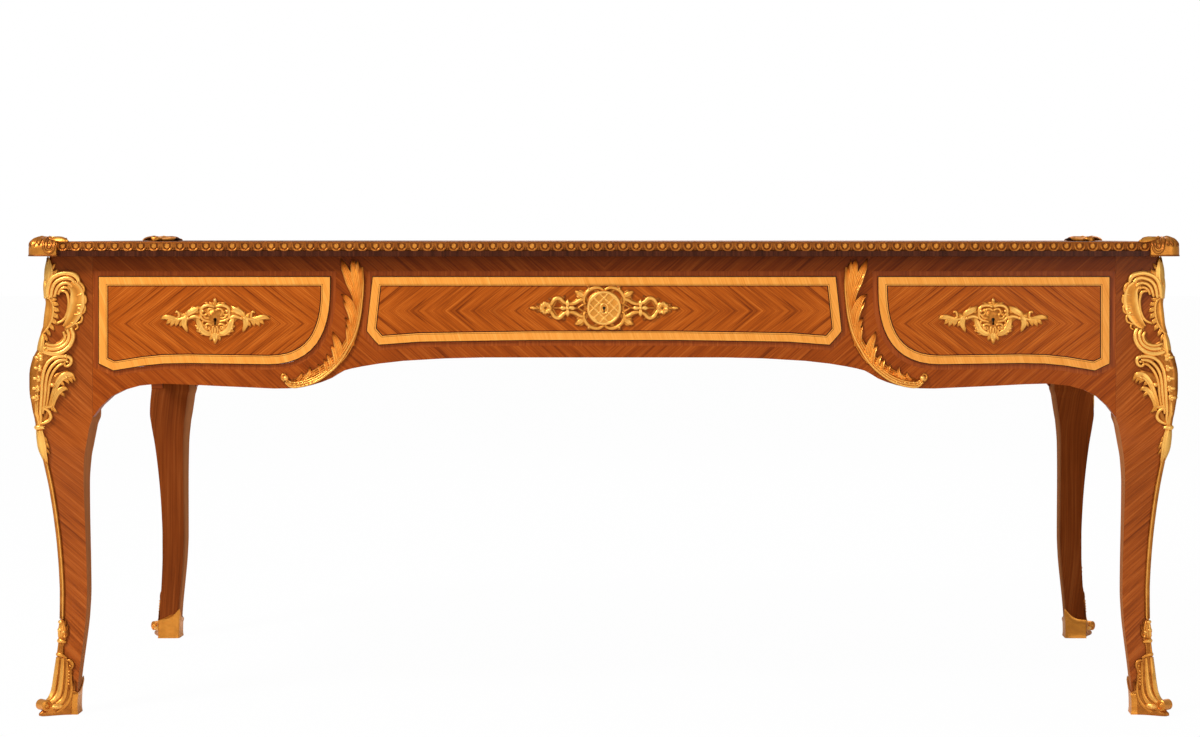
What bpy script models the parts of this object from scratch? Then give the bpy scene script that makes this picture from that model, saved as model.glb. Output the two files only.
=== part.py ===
"""Flat-topped writing desk: cabriole legs, three drawers with locks, leather top and gilt bronze mounts.

Metres, +Z up. The front looks to -Y, and the origin is on the floor under the middle of the desk.
"""

import math

import bmesh
import bpy

# Clearances
GAP = 0.0003
DRAWER_GAP = 0.001

# Carcass
CARCASS_LENGTH = 1.834
CARCASS_DEPTH = 0.894
CARCASS_TOP = 0.756
LEG_BLOCK = 0.0743
APRON_THICKNESS = 0.022
APRON_RAIL = 0.033
DIVISION = 0.421
PARTITION_THICKNESS = 0.020
PARTITION_DROP = 0.181

# Top
TOP_OVERHANG = 0.021
TOP_THICKNESS = 0.0225
WOOD_EDGE = 0.009
RIM_WIDTH = 0.014
RIM_HEIGHT = 0.0152
LEATHER_BORDER = 0.075
LEATHER_THICKNESS = 0.0015
CLASP_LENGTH = 0.052
CLASP_PROUD = 0.007
CLASP_HEIGHT = 0.034
CLASP_TONGUE = 0.030

# Legs and their bronzes
LEG_FOOT = 0.008
ARRIS_CHAMFER = 0.0025
MOUNT_EDGE = 0.0022
MOUNT_CREST = 0.0042
FILLET_WIDTH = 0.0058
SABOT_TOP = 0.157
SABOT_WALL = 0.0028

# Drawers
DRAWER_PROUD = 0.0035
DRAWER_FRONT = 0.022
DRAWER_LENGTH = 0.550
SIDE_WALL = 0.012
BACK_WALL = 0.010
BOTTOM_PANEL = 0.006
BOTTOM_RISE = 0.006
GROOVE = 0.005
BOX_TOP_DROP = 0.041
CENTRE_BOX_HALF = 0.360
CENTRE_BOX_DROP = 0.131
SIDE_BOX_INSET = 0.076
SIDE_BOX_OUTSET = 0.0207
SIDE_BOX_DROP = 0.158
RUNNER_WIDTH = 0.016
RUNNER_HEIGHT = 0.022
GUIDE_HEIGHT = 0.020
GUIDE_WIDTH = 0.012

# Locks and escutcheons
LOCK_WIDTH = 0.070
LOCK_HEIGHT = 0.080
LOCK_DEPTH = 0.014
BOLT_WIDTH = 0.026
BOLT_HEIGHT = 0.030
BOLT_THICKNESS = 0.005
ESCUTCHEON_PLATE = 0.0025
ESCUTCHEON_SHIELD = 0.0018
CENTRE_KEY_DROP = 0.085
SIDE_KEY_DROP = 0.104
SIDE_KEY_OFFSET = 0.0081
KEY_EYE = 0.0032
KEY_SLOT = 0.0090
KEY_BIT = 0.0014

HALF_LENGTH = CARCASS_LENGTH / 2
HALF_DEPTH = CARCASS_DEPTH / 2
JOINT = HALF_LENGTH - LEG_BLOCK
DRAWER_BACK_FACE = -HALF_DEPTH - DRAWER_PROUD + DRAWER_FRONT
SIDE_KEY_X = (DIVISION + JOINT) / 2 + SIDE_KEY_OFFSET
LOCK_TOP = CARCASS_TOP - APRON_RAIL - DRAWER_GAP
MM = 0.001
SHARP_ANGLE = math.radians(35)

FINISHES = {
    "veneer": ((0.42, 0.13, 0.025), 0.32, 0.0),
    "bronze": ((0.78, 0.45, 0.13), 0.30, 1.0),
    "oak": ((0.36, 0.22, 0.10), 0.65, 0.0),
    "leather": ((0.10, 0.035, 0.018), 0.50, 0.0),
    "steel": ((0.30, 0.29, 0.28), 0.40, 1.0),
}


# Curves and outlines

def smooth_function(knots):
    """A function that runs smoothly through (position, value) knots without overshooting them."""
    xs, ys = zip(*sorted(knots))
    rises = [(ys[k + 1] - ys[k]) / (xs[k + 1] - xs[k]) for k in range(len(xs) - 1)]
    slopes = [rises[0]]
    slopes += [2 * a * b / (a + b) if a * b > 0 else 0.0 for a, b in zip(rises, rises[1:])]
    slopes.append(rises[-1])

    def value(x):
        if x <= xs[0] or x >= xs[-1]:
            return ys[0] if x <= xs[0] else ys[-1]
        k = max(n for n in range(len(xs) - 1) if xs[n] <= x)
        width = xs[k + 1] - xs[k]
        t = (x - xs[k]) / width
        return (
            (1 + 2 * t) * (1 - t) ** 2 * ys[k]
            + t * (1 - t) ** 2 * width * slopes[k]
            + t * t * (3 - 2 * t) * ys[k + 1]
            + t * t * (t - 1) * width * slopes[k + 1]
        )

    return value


def bezier(start, first, second, end, steps):
    """Points of a cubic curve, both ends included."""
    points = []
    for n in range(steps + 1):
        t = n / steps
        weights = ((1 - t) ** 3, 3 * (1 - t) ** 2 * t, 3 * (1 - t) * t * t, t ** 3)
        pull = list(zip(weights, (start, first, second, end)))
        points.append((sum(w * p[0] for w, p in pull), sum(w * p[1] for w, p in pull)))
    return points


def mirrored(half):
    """A closed outline from its right half, given from top middle to bottom middle."""
    return half + [(-x, z) for x, z in reversed(half) if x > 1e-6]


def moved(outline, across, up):
    return [(x + across, z + up) for x, z in outline]


def flipped(outline):
    """The outline on the other side of the middle, still running the same way round."""
    return [(-x, z) for x, z in reversed(outline)]


def grown(outline, by):
    """A clockwise outline moved outwards by a distance, its corners mitred."""
    result = []
    for k, (x, z) in enumerate(outline):
        before, after = outline[k - 1], outline[(k + 1) % len(outline)]
        a = math.hypot(x - before[0], z - before[1])
        b = math.hypot(after[0] - x, after[1] - z)
        normal_a = (-(z - before[1]) / a, (x - before[0]) / a)
        normal_b = (-(after[1] - z) / b, (after[0] - x) / b)
        scale = by / (1 + normal_a[0] * normal_b[0] + normal_a[1] * normal_b[1])
        result.append((x + (normal_a[0] + normal_b[0]) * scale, z + (normal_a[1] + normal_b[1]) * scale))
    return result


def keyhole(x, z):
    """A round eye above a slot, clockwise."""
    turns = (-2.4, -1.2, 0.0, 1.2, 2.4)
    eye = [(x + KEY_EYE * math.sin(a), z + KEY_EYE * math.cos(a)) for a in turns]
    return eye + [(x + KEY_BIT, z - KEY_SLOT), (x - KEY_BIT, z - KEY_SLOT)]


# Solids

def filled(bm, loops, y):
    """Flat faces between the first loop and the others, in the plane across Y."""
    edges = []
    for loop in loops:
        verts = [bm.verts.new((x, y, z)) for x, z in loop]
        edges += [bm.edges.new((a, b)) for a, b in zip(verts, verts[1:] + verts[:1])]
    made = bmesh.ops.triangle_fill(bm, edges=edges, use_beauty=True, normal=(0, -1, 0))
    return [f for f in made["geom"] if isinstance(f, bmesh.types.BMFace)]


def pushed(bm, faces, along_y):
    grown_part = bmesh.ops.extrude_face_region(bm, geom=faces)
    verts = [v for v in grown_part["geom"] if isinstance(v, bmesh.types.BMVert)]
    bmesh.ops.translate(bm, vec=(0, along_y, 0), verts=verts)


def board(outline, show, back, holes=(), panels=(), proud=0.0):
    """A flat piece between its show plane and its back plane. Panels are outlines, each with its own holes,
    that stand proud of the show plane."""
    bm = bmesh.new()
    filled(bm, [outline, *holes, *(loop for loop, _ in panels)], show)
    raised = [face for loop, inner in panels for face in filled(bm, [loop, *inner], show)]
    bmesh.ops.remove_doubles(bm, verts=bm.verts, dist=1e-6)
    outward = 1 if show > back else -1
    pushed(bm, bm.faces[:], back - show)
    if raised:
        pushed(bm, raised, outward * proud)
        bmesh.ops.delete(bm, geom=raised, context="FACES")
    return closed(bm)


def closed(bm):
    loose = [v for v in bm.verts if not v.link_faces]
    bmesh.ops.delete(bm, geom=loose, context="VERTS")
    bmesh.ops.recalc_face_normals(bm, faces=bm.faces)
    return bm


def loft(rings):
    """A solid through rings of equally many points, capped at both ends."""
    bm = bmesh.new()
    loops = [[bm.verts.new(p) for p in ring] for ring in rings]
    for low, high in zip(loops, loops[1:]):
        for k in range(len(low)):
            bm.faces.new((low[k - 1], low[k], high[k], high[k - 1]))
    bm.faces.new(loops[0])
    bm.faces.new(loops[-1])
    return closed(bm)


def block(x0, x1, y0, y1, z0, z1):
    return loft([[(x0, y0, z), (x1, y0, z), (x1, y1, z), (x0, y1, z)] for z in (z0, z1)])


def bar(profile, y0, y1):
    """A profile across X and Z run along Y."""
    return loft([[(x, y, z) for x, z in profile] for y in (y0, y1)])


def relief(rows, top, base):
    """A casting with flat spans and openings. Each row is a list of spans, each a list of columns as
    (across, along, height). Columns that meet close an opening, and a span with no width ends there."""
    bm = bmesh.new()
    grid = [[[bm.verts.new(column) for column in span] for span in row] for row in rows]
    for low, high in zip(grid, grid[1:]):
        for a, b in zip(low, high):
            for k in range(len(a) - 1):
                if (a[k].co - a[k + 1].co).length > 1e-6 or (b[k].co - b[k + 1].co).length > 1e-6:
                    bm.faces.new((a[k], a[k + 1], b[k + 1], b[k]))
    bmesh.ops.delete(bm, geom=[v for v in bm.verts if not v.link_faces], context="VERTS")
    bmesh.ops.remove_doubles(bm, verts=bm.verts, dist=1e-6)
    sheet = bm.faces[:]
    edges = [e for e in bm.edges if len(e.link_faces) == 1]
    under = {v: bm.verts.new(base(*v.co)) for v in bm.verts[:]}
    for face in sheet:
        bm.faces.new([under[v] for v in reversed(face.verts[:])])
    for edge in edges:
        a, b = edge.verts
        bm.faces.new((a, b, under[b], under[a]))
    for v in under:
        v.co = top(*v.co)
    return closed(bm)


def without(bm, cutter):
    """The first mesh with the second taken out of it."""
    objects = []
    for name, shape in (("stock", bm), ("tool", cutter)):
        mesh = bpy.data.meshes.new(name)
        shape.to_mesh(mesh)
        shape.free()
        objects.append(bpy.data.objects.new(name, mesh))
        bpy.context.scene.collection.objects.link(objects[-1])
    cut = objects[0].modifiers.new("cut", "BOOLEAN")
    cut.operation = "DIFFERENCE"
    cut.object = objects[1]
    cut.use_self = True
    graph = bpy.context.evaluated_depsgraph_get()
    result = bmesh.new()
    result.from_object(objects[0], graph)
    for obj in objects:
        bpy.data.objects.remove(obj)
    return result


# Scene

def clear_scene():
    for obj in list(bpy.data.objects):
        bpy.data.objects.remove(obj)


def finish(name):
    colour, roughness, metallic = FINISHES[name]
    material = bpy.data.materials.get(name) or bpy.data.materials.new(name)
    material.use_nodes = True
    shader = material.node_tree.nodes["Principled BSDF"]
    shader.inputs["Base Color"].default_value = (*colour, 1)
    shader.inputs["Roughness"].default_value = roughness
    shader.inputs["Metallic"].default_value = metallic
    material.diffuse_color = (*colour, 1)
    return material


def carrier(name, at=(0, 0, 0)):
    """The empty that a body's pieces hang from, on the line that the body slides along."""
    empty = bpy.data.objects.new(name, None)
    empty.location = at
    bpy.context.scene.collection.objects.link(empty)
    return empty


def mesh_of(name, bm, look):
    mesh = bpy.data.meshes.new(name)
    bm.to_mesh(mesh)
    bm.free()
    mesh.materials.append(finish(look))
    mesh.shade_smooth()
    mesh.set_sharp_from_angle(angle=SHARP_ANGLE)
    return mesh


def place(name, mesh, body, side=(1, 1)):
    """The mesh as a named object of its body. The sides turn it over to another corner of the desk."""
    obj = bpy.data.objects.new(name, mesh)
    obj.parent = body
    obj.location = -body.location
    obj.scale = (*side, 1)
    bpy.context.scene.collection.objects.link(obj)
    return obj


def solid(name, bm, look, body):
    return place(name, mesh_of(name, bm, look), body)


CORNERS = {
    "front_left": (-1, -1),
    "front_right": (1, -1),
    "back_left": (-1, 1),
    "back_right": (1, 1),
}


# Legs: shaped by how far the outer arris stands out from the block, and by the inner edge

def straight_foot(curve):
    """The curve with a straight taper where the leg stands in its sabot."""
    def value(z):
        if z >= SABOT_TOP:
            return curve(z)
        share = (SABOT_TOP - z) / (SABOT_TOP - LEG_FOOT)
        return curve(SABOT_TOP) + share * (curve(LEG_FOOT) - curve(SABOT_TOP))

    return value


LEG_ARRIS = straight_foot(smooth_function(
    [(CARCASS_TOP - drop * MM, out * MM) for drop, out in (
        (0, 0), (60, -2), (96, -3), (122, -2), (150, 9), (168, 19), (195, 23.5), (218, 23.5),
        (244, 20), (268, 15.5), (313, 10), (346, 2))]
    + [(height * MM, out * MM) for height, out in (
        (291, -13), (238, -16.5), (186, -18), (157, -17.5))]
    + [(LEG_FOOT, -0.009)]
))
LEG_INNER = straight_foot(smooth_function(
    [(CARCASS_TOP - drop * MM, -LEG_BLOCK + inset * MM) for drop, inset in (
        (0, 0), (265.5, 0), (271, 2.3), (290, 5.8), (318, 10.3), (359, 15.3))]
    + [(height * MM, -LEG_BLOCK + inset * MM) for height, inset in (
        (309, 14.8), (274, 14), (238, 13.6), (204, 13.3), (168, 14.5), (157, 15.2))]
    + [(LEG_FOOT, -LEG_BLOCK + 0.0283)]
))
LEG_SQUARE = smooth_function([(CARCASS_TOP - 0.346, 1.0), (CARCASS_TOP - 0.262, 0.0)])
HOLLOW = 1.6

# Outline of a corner mount on one face of the leg, in millimetres: the drop below the top of the leg, then from
# the arris the stem's edge, the two edges of the scroll beside it and the two edges of the leaf beyond
MOUNT_ROWS = (
    (3, 3, 3, 3, 3, 3),
    (22, 9, 9, 9, 9, 9),
    (28, 22, 22, 44, 44, 44),
    (37, 24, 24, 51, 51, 51),
    (52, 22, 22, 53, 53, 53),
    (63, 13, 33, 56, 56, 56),
    (81, 17, 36, 57, 57, 57),
    (98, 18, 35, 53, 53, 53),
    (107, 20, 20, 50, 50, 50),
    (115, 19, 19, 47, 47, 47),
    (126, 11, 25, 43, 43, 43),
    (137, 9, 23, 44, 44, 44),
    (147, 20, 20, 42, 42, 42),
    (160, 22, 22, 37, 37, 37),
    (168, 26, 26, 42, 42, 42),
    (175, 25, 40, 50, 50, 50),
    (182, 21, 47, 47, 47, 47),
    (186, 20, 58, 58, 58, 58),
    (193, 20, 37, 61, 61, 61),
    (204, 20, 25, 46, 46, 46),
    (212, 20, 20, 39, 39, 39),
    (218, 18, 18, 31, 53, 53),
    (225, 13, 18, 25, 32, 46),
    (234, 14, 19, 25, 28, 37),
    (240, 16, 16, 27, 27, 34),
    (246, 15, 15, 28, 28, 28),
    (254, 11, 19, 27, 27, 27),
    (266, 12, 12, 21, 21, 21),
    (280, 6, 6, 6, 6, 6),
    (292, 9, 9, 9, 9, 9),
    (316, 10, 10, 10, 10, 10),
    (334, 5.5, 5.5, 5.5, 5.5, 5.5),
)
FILLET_STEPS = 6


def mount_heights():
    return [CARCASS_TOP - row[0] * MM for row in MOUNT_ROWS]


def fillet_heights():
    tail = mount_heights()[-1]
    bottom = SABOT_TOP + 2 * GAP
    return [tail + (bottom - tail) * n / FILLET_STEPS for n in range(1, FILLET_STEPS + 1)]


def leg_face(inward, z, spread=0.0):
    """A point of the leg's front or side face: how far it stands along and out of the face."""
    arris, inner = LEG_ARRIS(z), LEG_INNER(z)
    share = min(max(inward / (arris - inner), 0.0), 1.0)
    edge = arris * LEG_SQUARE(z)
    return arris - inward, edge + (arris - edge) * (1 - share) ** HOLLOW + spread


def leg_ring(z, spread):
    arris, inner = LEG_ARRIS(z) + spread, LEG_INNER(z) - spread
    width = arris - inner
    face = [leg_face(s, z) for s in (0.0, 0.2 * width, 0.5 * width)]
    face = [(along + spread, out + spread) for along, out in face]
    face[0] = (face[0][0] - ARRIS_CHAMFER, face[0][1])
    face.append((inner, leg_face(width - 2 * spread, z, spread)[1]))
    ring = face + [(inner, inner)] + [(out, along) for along, out in reversed(face)]
    return [(HALF_LENGTH + p, HALF_DEPTH + q, z) for p, q in ring]


def leg(spread=0.0):
    """A cabriole leg. Spread makes it that much fatter all round, to cut what fits over it."""
    heights = [CARCASS_TOP - GAP, *mount_heights(), *fillet_heights(), SABOT_TOP, LEG_FOOT]
    if spread:
        heights = [CARCASS_TOP + 2 * spread, *heights[:-1], LEG_FOOT - spread]
    bm = loft([leg_ring(z, spread) for z in reversed(heights)])
    bmesh.ops.triangulate(bm, faces=bm.faces[:], quad_method="FIXED")
    return bm


def corner_mount():
    """The pierced casting that wraps the leg's arris, with the fillet that runs on down to the sabot."""
    def span(start, end, z):
        crest = MOUNT_CREST if end > start else MOUNT_EDGE
        return [(start, z, MOUNT_EDGE), ((start + end) / 2, z, crest), (end, z, MOUNT_EDGE)]

    def columns(stem, inner, outer, root, tip, z):
        side = [span(inner, outer, z), span(root, tip, z)]
        middle = [(stem, z, MOUNT_EDGE), (stem / 2, z, MOUNT_CREST), (0, z, MOUNT_CREST)]
        middle += [(-s, z, t) for s, z, t in reversed(middle[:-1])]
        other = [[(-s, z, t) for s, z, t in reversed(part)] for part in side]
        return [*other, middle, *side]

    def on_leg(across, z, out):
        along, face = leg_face(abs(across), z, out)
        if abs(across) < 1e-9:
            along = face
        p, q = (along, face) if across >= 0 else (face, along)
        return HALF_LENGTH + p, HALF_DEPTH + q, z

    def in_leg(across, z, out):
        return on_leg(across, z, -MOUNT_CREST)

    rows = [columns(*(edge * MM for edge in row[1:]), z) for row, z in zip(MOUNT_ROWS, mount_heights())]
    rows += [columns(*[FILLET_WIDTH] * 5, z) for z in fillet_heights()]
    return without(relief(rows, on_leg, in_leg), leg(GAP))


# Sabots: columns round the foot as a share of each face, with the height that the bronze climbs to
SABOT_FACE = (
    (0.0, SABOT_TOP), (0.13, SABOT_TOP - 0.007), (0.24, 0.098), (0.50, 0.088), (0.72, 0.062), (1.0, 0.040),
)
SABOT_INSIDE = ((0.5, 0.046), (1.0, 0.068))
# The toe's height and how far it curls out, and how much of the curl each column of a face takes
TOE = (
    (0, 0.022), (0.004, 0.023), (0.009, 0.019), (0.018, 0.0295), (0.026, 0.024), (0.031, 0.008),
    (0.036, 0.003),
)
TOE_SPREAD = (1.0, 0.75, 0.35, 0.0, 0.0, 0.0)
SABOT_ROWS = 4


def sabot():
    """The bronze foot: a shell round the end of the leg with a curled toe at the corner."""
    def foot(share, inside, z):
        arris, inner = LEG_ARRIS(z), LEG_INNER(z)
        if inside:
            return (inner, arris + (inner - arris) * share), (-1, -1 if share == 1 else 0)
        return (arris + (inner - arris) * share, arris), (1 if share == 0 else -1 if share == 1 else 0, 1)

    def column(share, inside, climb, toe, swap):
        heights = [z for z, _ in TOE]
        start = heights[-1]
        heights += [start + (climb - start) * n / SABOT_ROWS for n in range(1, SABOT_ROWS + 1)]
        curls = [out for _, out in TOE] + [0.0] * SABOT_ROWS
        outer, inner = [], []
        for z, curl in zip(heights, curls):
            (p, q), (a, b) = foot(share, inside, z)
            skin, reach = GAP + SABOT_WALL, curl * toe
            outer.append((p + a * skin + reach, q + b * skin + reach, z))
        for z in (LEG_FOOT - GAP, climb):
            (p, q), (a, b) = foot(share, inside, z)
            inner.append((p + a * GAP, q + b * GAP, z))
        return [(q, p, z) if swap else (p, q, z) for p, q, z in inner + outer[::-1]]

    face = [column(s, False, h, t, False) for (s, h), t in zip(SABOT_FACE, TOE_SPREAD)]
    inside = [column(s, True, h, 0.0, False) for s, h in SABOT_INSIDE]
    other = [column(s, True, h, 0.0, True) for s, h in SABOT_INSIDE[:1]]
    other += [column(s, False, h, t, True) for (s, h), t in reversed(list(zip(SABOT_FACE, TOE_SPREAD))[1:])]
    columns = [[(HALF_LENGTH + p, HALF_DEPTH + q, z) for p, q, z in c] for c in [*face, *inside, *other]]
    bm = bmesh.new()
    grid = [[bm.verts.new(p) for p in c] for c in columns]
    for k in range(len(grid)):
        for a in range(len(grid[k]) - 1):
            bm.faces.new((grid[k - 1][a], grid[k][a], grid[k][a + 1], grid[k - 1][a + 1]))
    bm.faces.new([c[0] for c in grid])
    bm.faces.new([c[-1] for c in grid])
    return closed(bm)


def build_legs(frame):
    meshes = {
        "leg": mesh_of("leg", leg(), "veneer"),
        "corner_mount": mesh_of("corner_mount", corner_mount(), "bronze"),
        "sabot": mesh_of("sabot", sabot(), "bronze"),
    }
    for corner, side in CORNERS.items():
        for name, mesh in meshes.items():
            place(f"{name}_{corner}", mesh, frame, side)


# Aprons: lower edges as (position, drop below the carcass top in millimetres)

APRON_EDGE = smooth_function(
    [(0.0, 166.8)]
    + [(DIVISION + u * MM, drop) for u, drop in (
        (-223, 166.8), (-124, 169.8), (-50, 176.9), (-13, 183.3), (8, 188.4), (30, 201.4), (60, 212.1),
        (90, 217.5), (123, 217.9))]
    + [(JOINT + u * MM, drop) for u, drop in (
        (-197, 213.3), (-110, 209.7), (-77, 213.3), (-52, 220.4), (-32, 230.3), (-15, 246), (0, 265.5))]
)
APRON_STATIONS = [0.0]
APRON_STATIONS += [DIVISION + u * MM for u in (
    -223, -160, -90, -50, -22, -5, 8, 18, 30, 44, 60, 78, 100, 123)]
APRON_STATIONS += [JOINT + u * MM for u in (-197, -150, -110, -77, -52, -32, -15)]

SIDE_EDGE = smooth_function(
    [(0.0, 214.0)]
    + [(HALF_DEPTH - LEG_BLOCK + u * MM, drop) for u, drop in (
        (-260, 213.5), (-185, 210.0), (-110, 209.7), (-77, 213.3), (-52, 220.4), (-32, 230.3), (-15, 246),
        (0, 265.5))]
)
SIDE_STATIONS = [0.0] + [HALF_DEPTH - LEG_BLOCK + u * MM for u in (-260, -185, -110, -77, -52, -32, -15)]


def apron_outline(end, stations, edge):
    """Clockwise, from the middle of the upper edge."""
    top = CARCASS_TOP - GAP
    half = [(0.0, top), (end, top), (end, CARCASS_TOP - edge(end) * MM)]
    half += [(x, CARCASS_TOP - edge(x) * MM) for x in reversed(stations)]
    return mirrored(half)


# Drawer fronts in millimetres: across from the division or the leg joint, then the drop below the rail
CENTRE_DRAWER = (
    (-39.3, 0), (-29.4, 90.2), (-36, 98.5), (-43, 106.5), (-49.8, 113.6), (-117, 108.6), (-195, 107.3),
    (-301, 105.8),
)
SIDE_DRAWER = ((-10.2, 0), (-10.2, 144), (-35, 155.9), (-84.7, 147.8), (-117.7, 144.5), (-157.7, 143.7))
SIDE_DRAWER_START = 29.2
SIDE_DRAWER_LOBE = ((131.0, 145.7), (56.8, 145.7), (29.2, 96.8), (29.2, 22.6))
LOBE_STEPS = 12


def below_rail(points, start):
    return [(start + across * MM, CARCASS_TOP - APRON_RAIL - drop * MM) for across, drop in points]


def centre_outline():
    half = below_rail(CENTRE_DRAWER, DIVISION)
    return mirrored([(0.0, half[0][1]), *half, (0.0, half[-1][1])])


def side_outline():
    lobe = below_rail(bezier(*SIDE_DRAWER_LOBE, LOBE_STEPS), DIVISION)
    return below_rail([(SIDE_DRAWER_START, 0)], DIVISION) + below_rail(SIDE_DRAWER, JOINT) + lobe


def drawer_outlines():
    side = side_outline()
    return {"left": flipped(side), "centre": centre_outline(), "right": side}


def build_aprons(frame):
    outline = apron_outline(JOINT - GAP, APRON_STATIONS, APRON_EDGE)
    openings = [grown(loop, DRAWER_GAP) for loop in drawer_outlines().values()]
    inside = HALF_DEPTH - APRON_THICKNESS
    solid("front_apron", board(outline, -HALF_DEPTH, -inside, openings), "veneer", frame)
    false_drawers = [(loop, []) for loop in drawer_outlines().values()]
    solid("back_apron", board(outline, HALF_DEPTH, inside, (), false_drawers, DRAWER_PROUD), "veneer", frame)
    end = apron_outline(HALF_DEPTH - LEG_BLOCK - GAP, SIDE_STATIONS, SIDE_EDGE)
    side = board(end, HALF_LENGTH, HALF_LENGTH - APRON_THICKNESS)
    for vert in side.verts:
        vert.co = (vert.co.y, vert.co.x, vert.co.z)
    bmesh.ops.recalc_face_normals(side, faces=side.faces)
    mesh = mesh_of("side_apron", side, "veneer")
    place("right_apron", mesh, frame)
    place("left_apron", mesh, frame, (-1, 1))


# Inner carcass: partitions and the runners that carry the drawers

def build_runners(frame):
    half = PARTITION_THICKNESS / 2
    floor = CARCASS_TOP - PARTITION_DROP
    inside = HALF_DEPTH - APRON_THICKNESS - GAP
    ledge = CARCASS_TOP - CENTRE_BOX_DROP - GAP
    inner, outer = DIVISION - half, DIVISION + half
    guide = CENTRE_BOX_HALF + DRAWER_GAP
    runner = CENTRE_BOX_HALF - RUNNER_WIDTH
    partition = [
        (outer, floor), (outer, CARCASS_TOP - GAP), (inner, CARCASS_TOP - GAP), (inner, ledge),
        (guide + GUIDE_WIDTH, ledge), (guide + GUIDE_WIDTH, ledge + GUIDE_HEIGHT),
        (guide, ledge + GUIDE_HEIGHT), (guide, ledge), (runner, ledge), (runner, ledge - RUNNER_HEIGHT),
        (inner, ledge - RUNNER_HEIGHT), (inner, floor),
    ]
    shelf = CARCASS_TOP - SIDE_BOX_DROP - GAP
    box_inner, box_outer = DIVISION + SIDE_BOX_INSET, JOINT - SIDE_BOX_OUTSET
    wall = box_inner - DRAWER_GAP
    inner_runner = [
        (outer + GAP, shelf - RUNNER_HEIGHT), (outer + GAP, shelf), (wall - GUIDE_WIDTH, shelf),
        (wall - GUIDE_WIDTH, shelf + GUIDE_HEIGHT), (wall, shelf + GUIDE_HEIGHT), (wall, shelf),
        (box_inner + RUNNER_WIDTH, shelf), (box_inner + RUNNER_WIDTH, shelf - RUNNER_HEIGHT),
    ]
    wall = box_outer + DRAWER_GAP
    apron = HALF_LENGTH - APRON_THICKNESS - GAP
    outer_runner = [
        (box_outer - RUNNER_WIDTH, shelf - RUNNER_HEIGHT), (box_outer - RUNNER_WIDTH, shelf),
        (wall, shelf), (wall, shelf + GUIDE_HEIGHT),
        (wall + GUIDE_WIDTH, shelf + GUIDE_HEIGHT), (wall + GUIDE_WIDTH, shelf),
        (apron, shelf), (apron, shelf - RUNNER_HEIGHT),
    ]
    between_legs = HALF_DEPTH - LEG_BLOCK - GAP
    profiles = {
        "partition": (partition, inside),
        "inner_runner": (inner_runner, inside),
        "outer_runner": (outer_runner, between_legs),
    }
    for name, (profile, reach) in profiles.items():
        mesh = mesh_of(name, bar(profile, -reach, reach), "oak")
        place(f"{name}_right", mesh, frame)
        place(f"{name}_left", mesh, frame, (-1, 1))


# Top: board, leather, rims and clasps. The rim's swell is in millimetres out and up

RIM_SWELL = ((-2.0, 0), (-0.4, 3.0), (0, 6.2), (-1.0, 9.6), (-3.4, 11.8))
# The clasp's outer side, in millimetres back from its fullest line and up, and its turn round the corner
CLASP_SWELL = ((1, 0), (0, 10), (2, 22), (7, 30))
CLASP_CROWN_EDGE = 0.008
CLASP_LIP = 0.0055
CLASP_TURNS = (90, 67, 45, 23, 0)


def build_top(frame):
    x, y = HALF_LENGTH + TOP_OVERHANG, HALF_DEPTH + TOP_OVERHANG
    low = CARCASS_TOP
    shoulder, high = low + WOOD_EDGE, low + TOP_THICKNESS

    def ring(inset, z):
        return [(sx * (x - inset), sy * (y - inset), z) for sx, sy in ((-1, -1), (1, -1), (1, 1), (-1, 1))]

    rebate = RIM_WIDTH + GAP
    border = RIM_WIDTH + LEATHER_BORDER
    bed = high - LEATHER_THICKNESS
    solid("top_board", loft([ring(0, low), ring(0, shoulder), ring(rebate, shoulder), ring(rebate, high),
                             ring(border, high), ring(border, bed)]), "veneer", frame)
    solid("leather", loft([ring(border + GAP, bed + GAP), ring(border + GAP, high)]), "leather", frame)

    base, lip = shoulder + GAP, shoulder + RIM_HEIGHT
    rim = [(-RIM_WIDTH, base), *((out * MM, base + up * MM) for out, up in RIM_SWELL)]
    rim += [(rim[-1][0], lip), (-RIM_WIDTH, lip)]
    long_end, short_end = x - CLASP_LENGTH - GAP, y - CLASP_LENGTH - GAP
    front = loft([[(end, -y - n, z) for n, z in rim] for end in (-long_end, long_end)])
    side = loft([[(x + n, end, z) for n, z in rim] for end in (-short_end, short_end)])
    front, side = mesh_of("long_rim", front, "bronze"), mesh_of("short_rim", side, "bronze")
    place("rim_front", front, frame)
    place("rim_back", front, frame, (1, -1))
    place("rim_right", side, frame)
    place("rim_left", side, frame, (-1, 1))

    clasp = mesh_of("clasp", corner_clasp(x, y, low, shoulder, high), "bronze")
    for corner, sides in CORNERS.items():
        place(f"clasp_{corner}", clasp, frame, sides)


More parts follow.
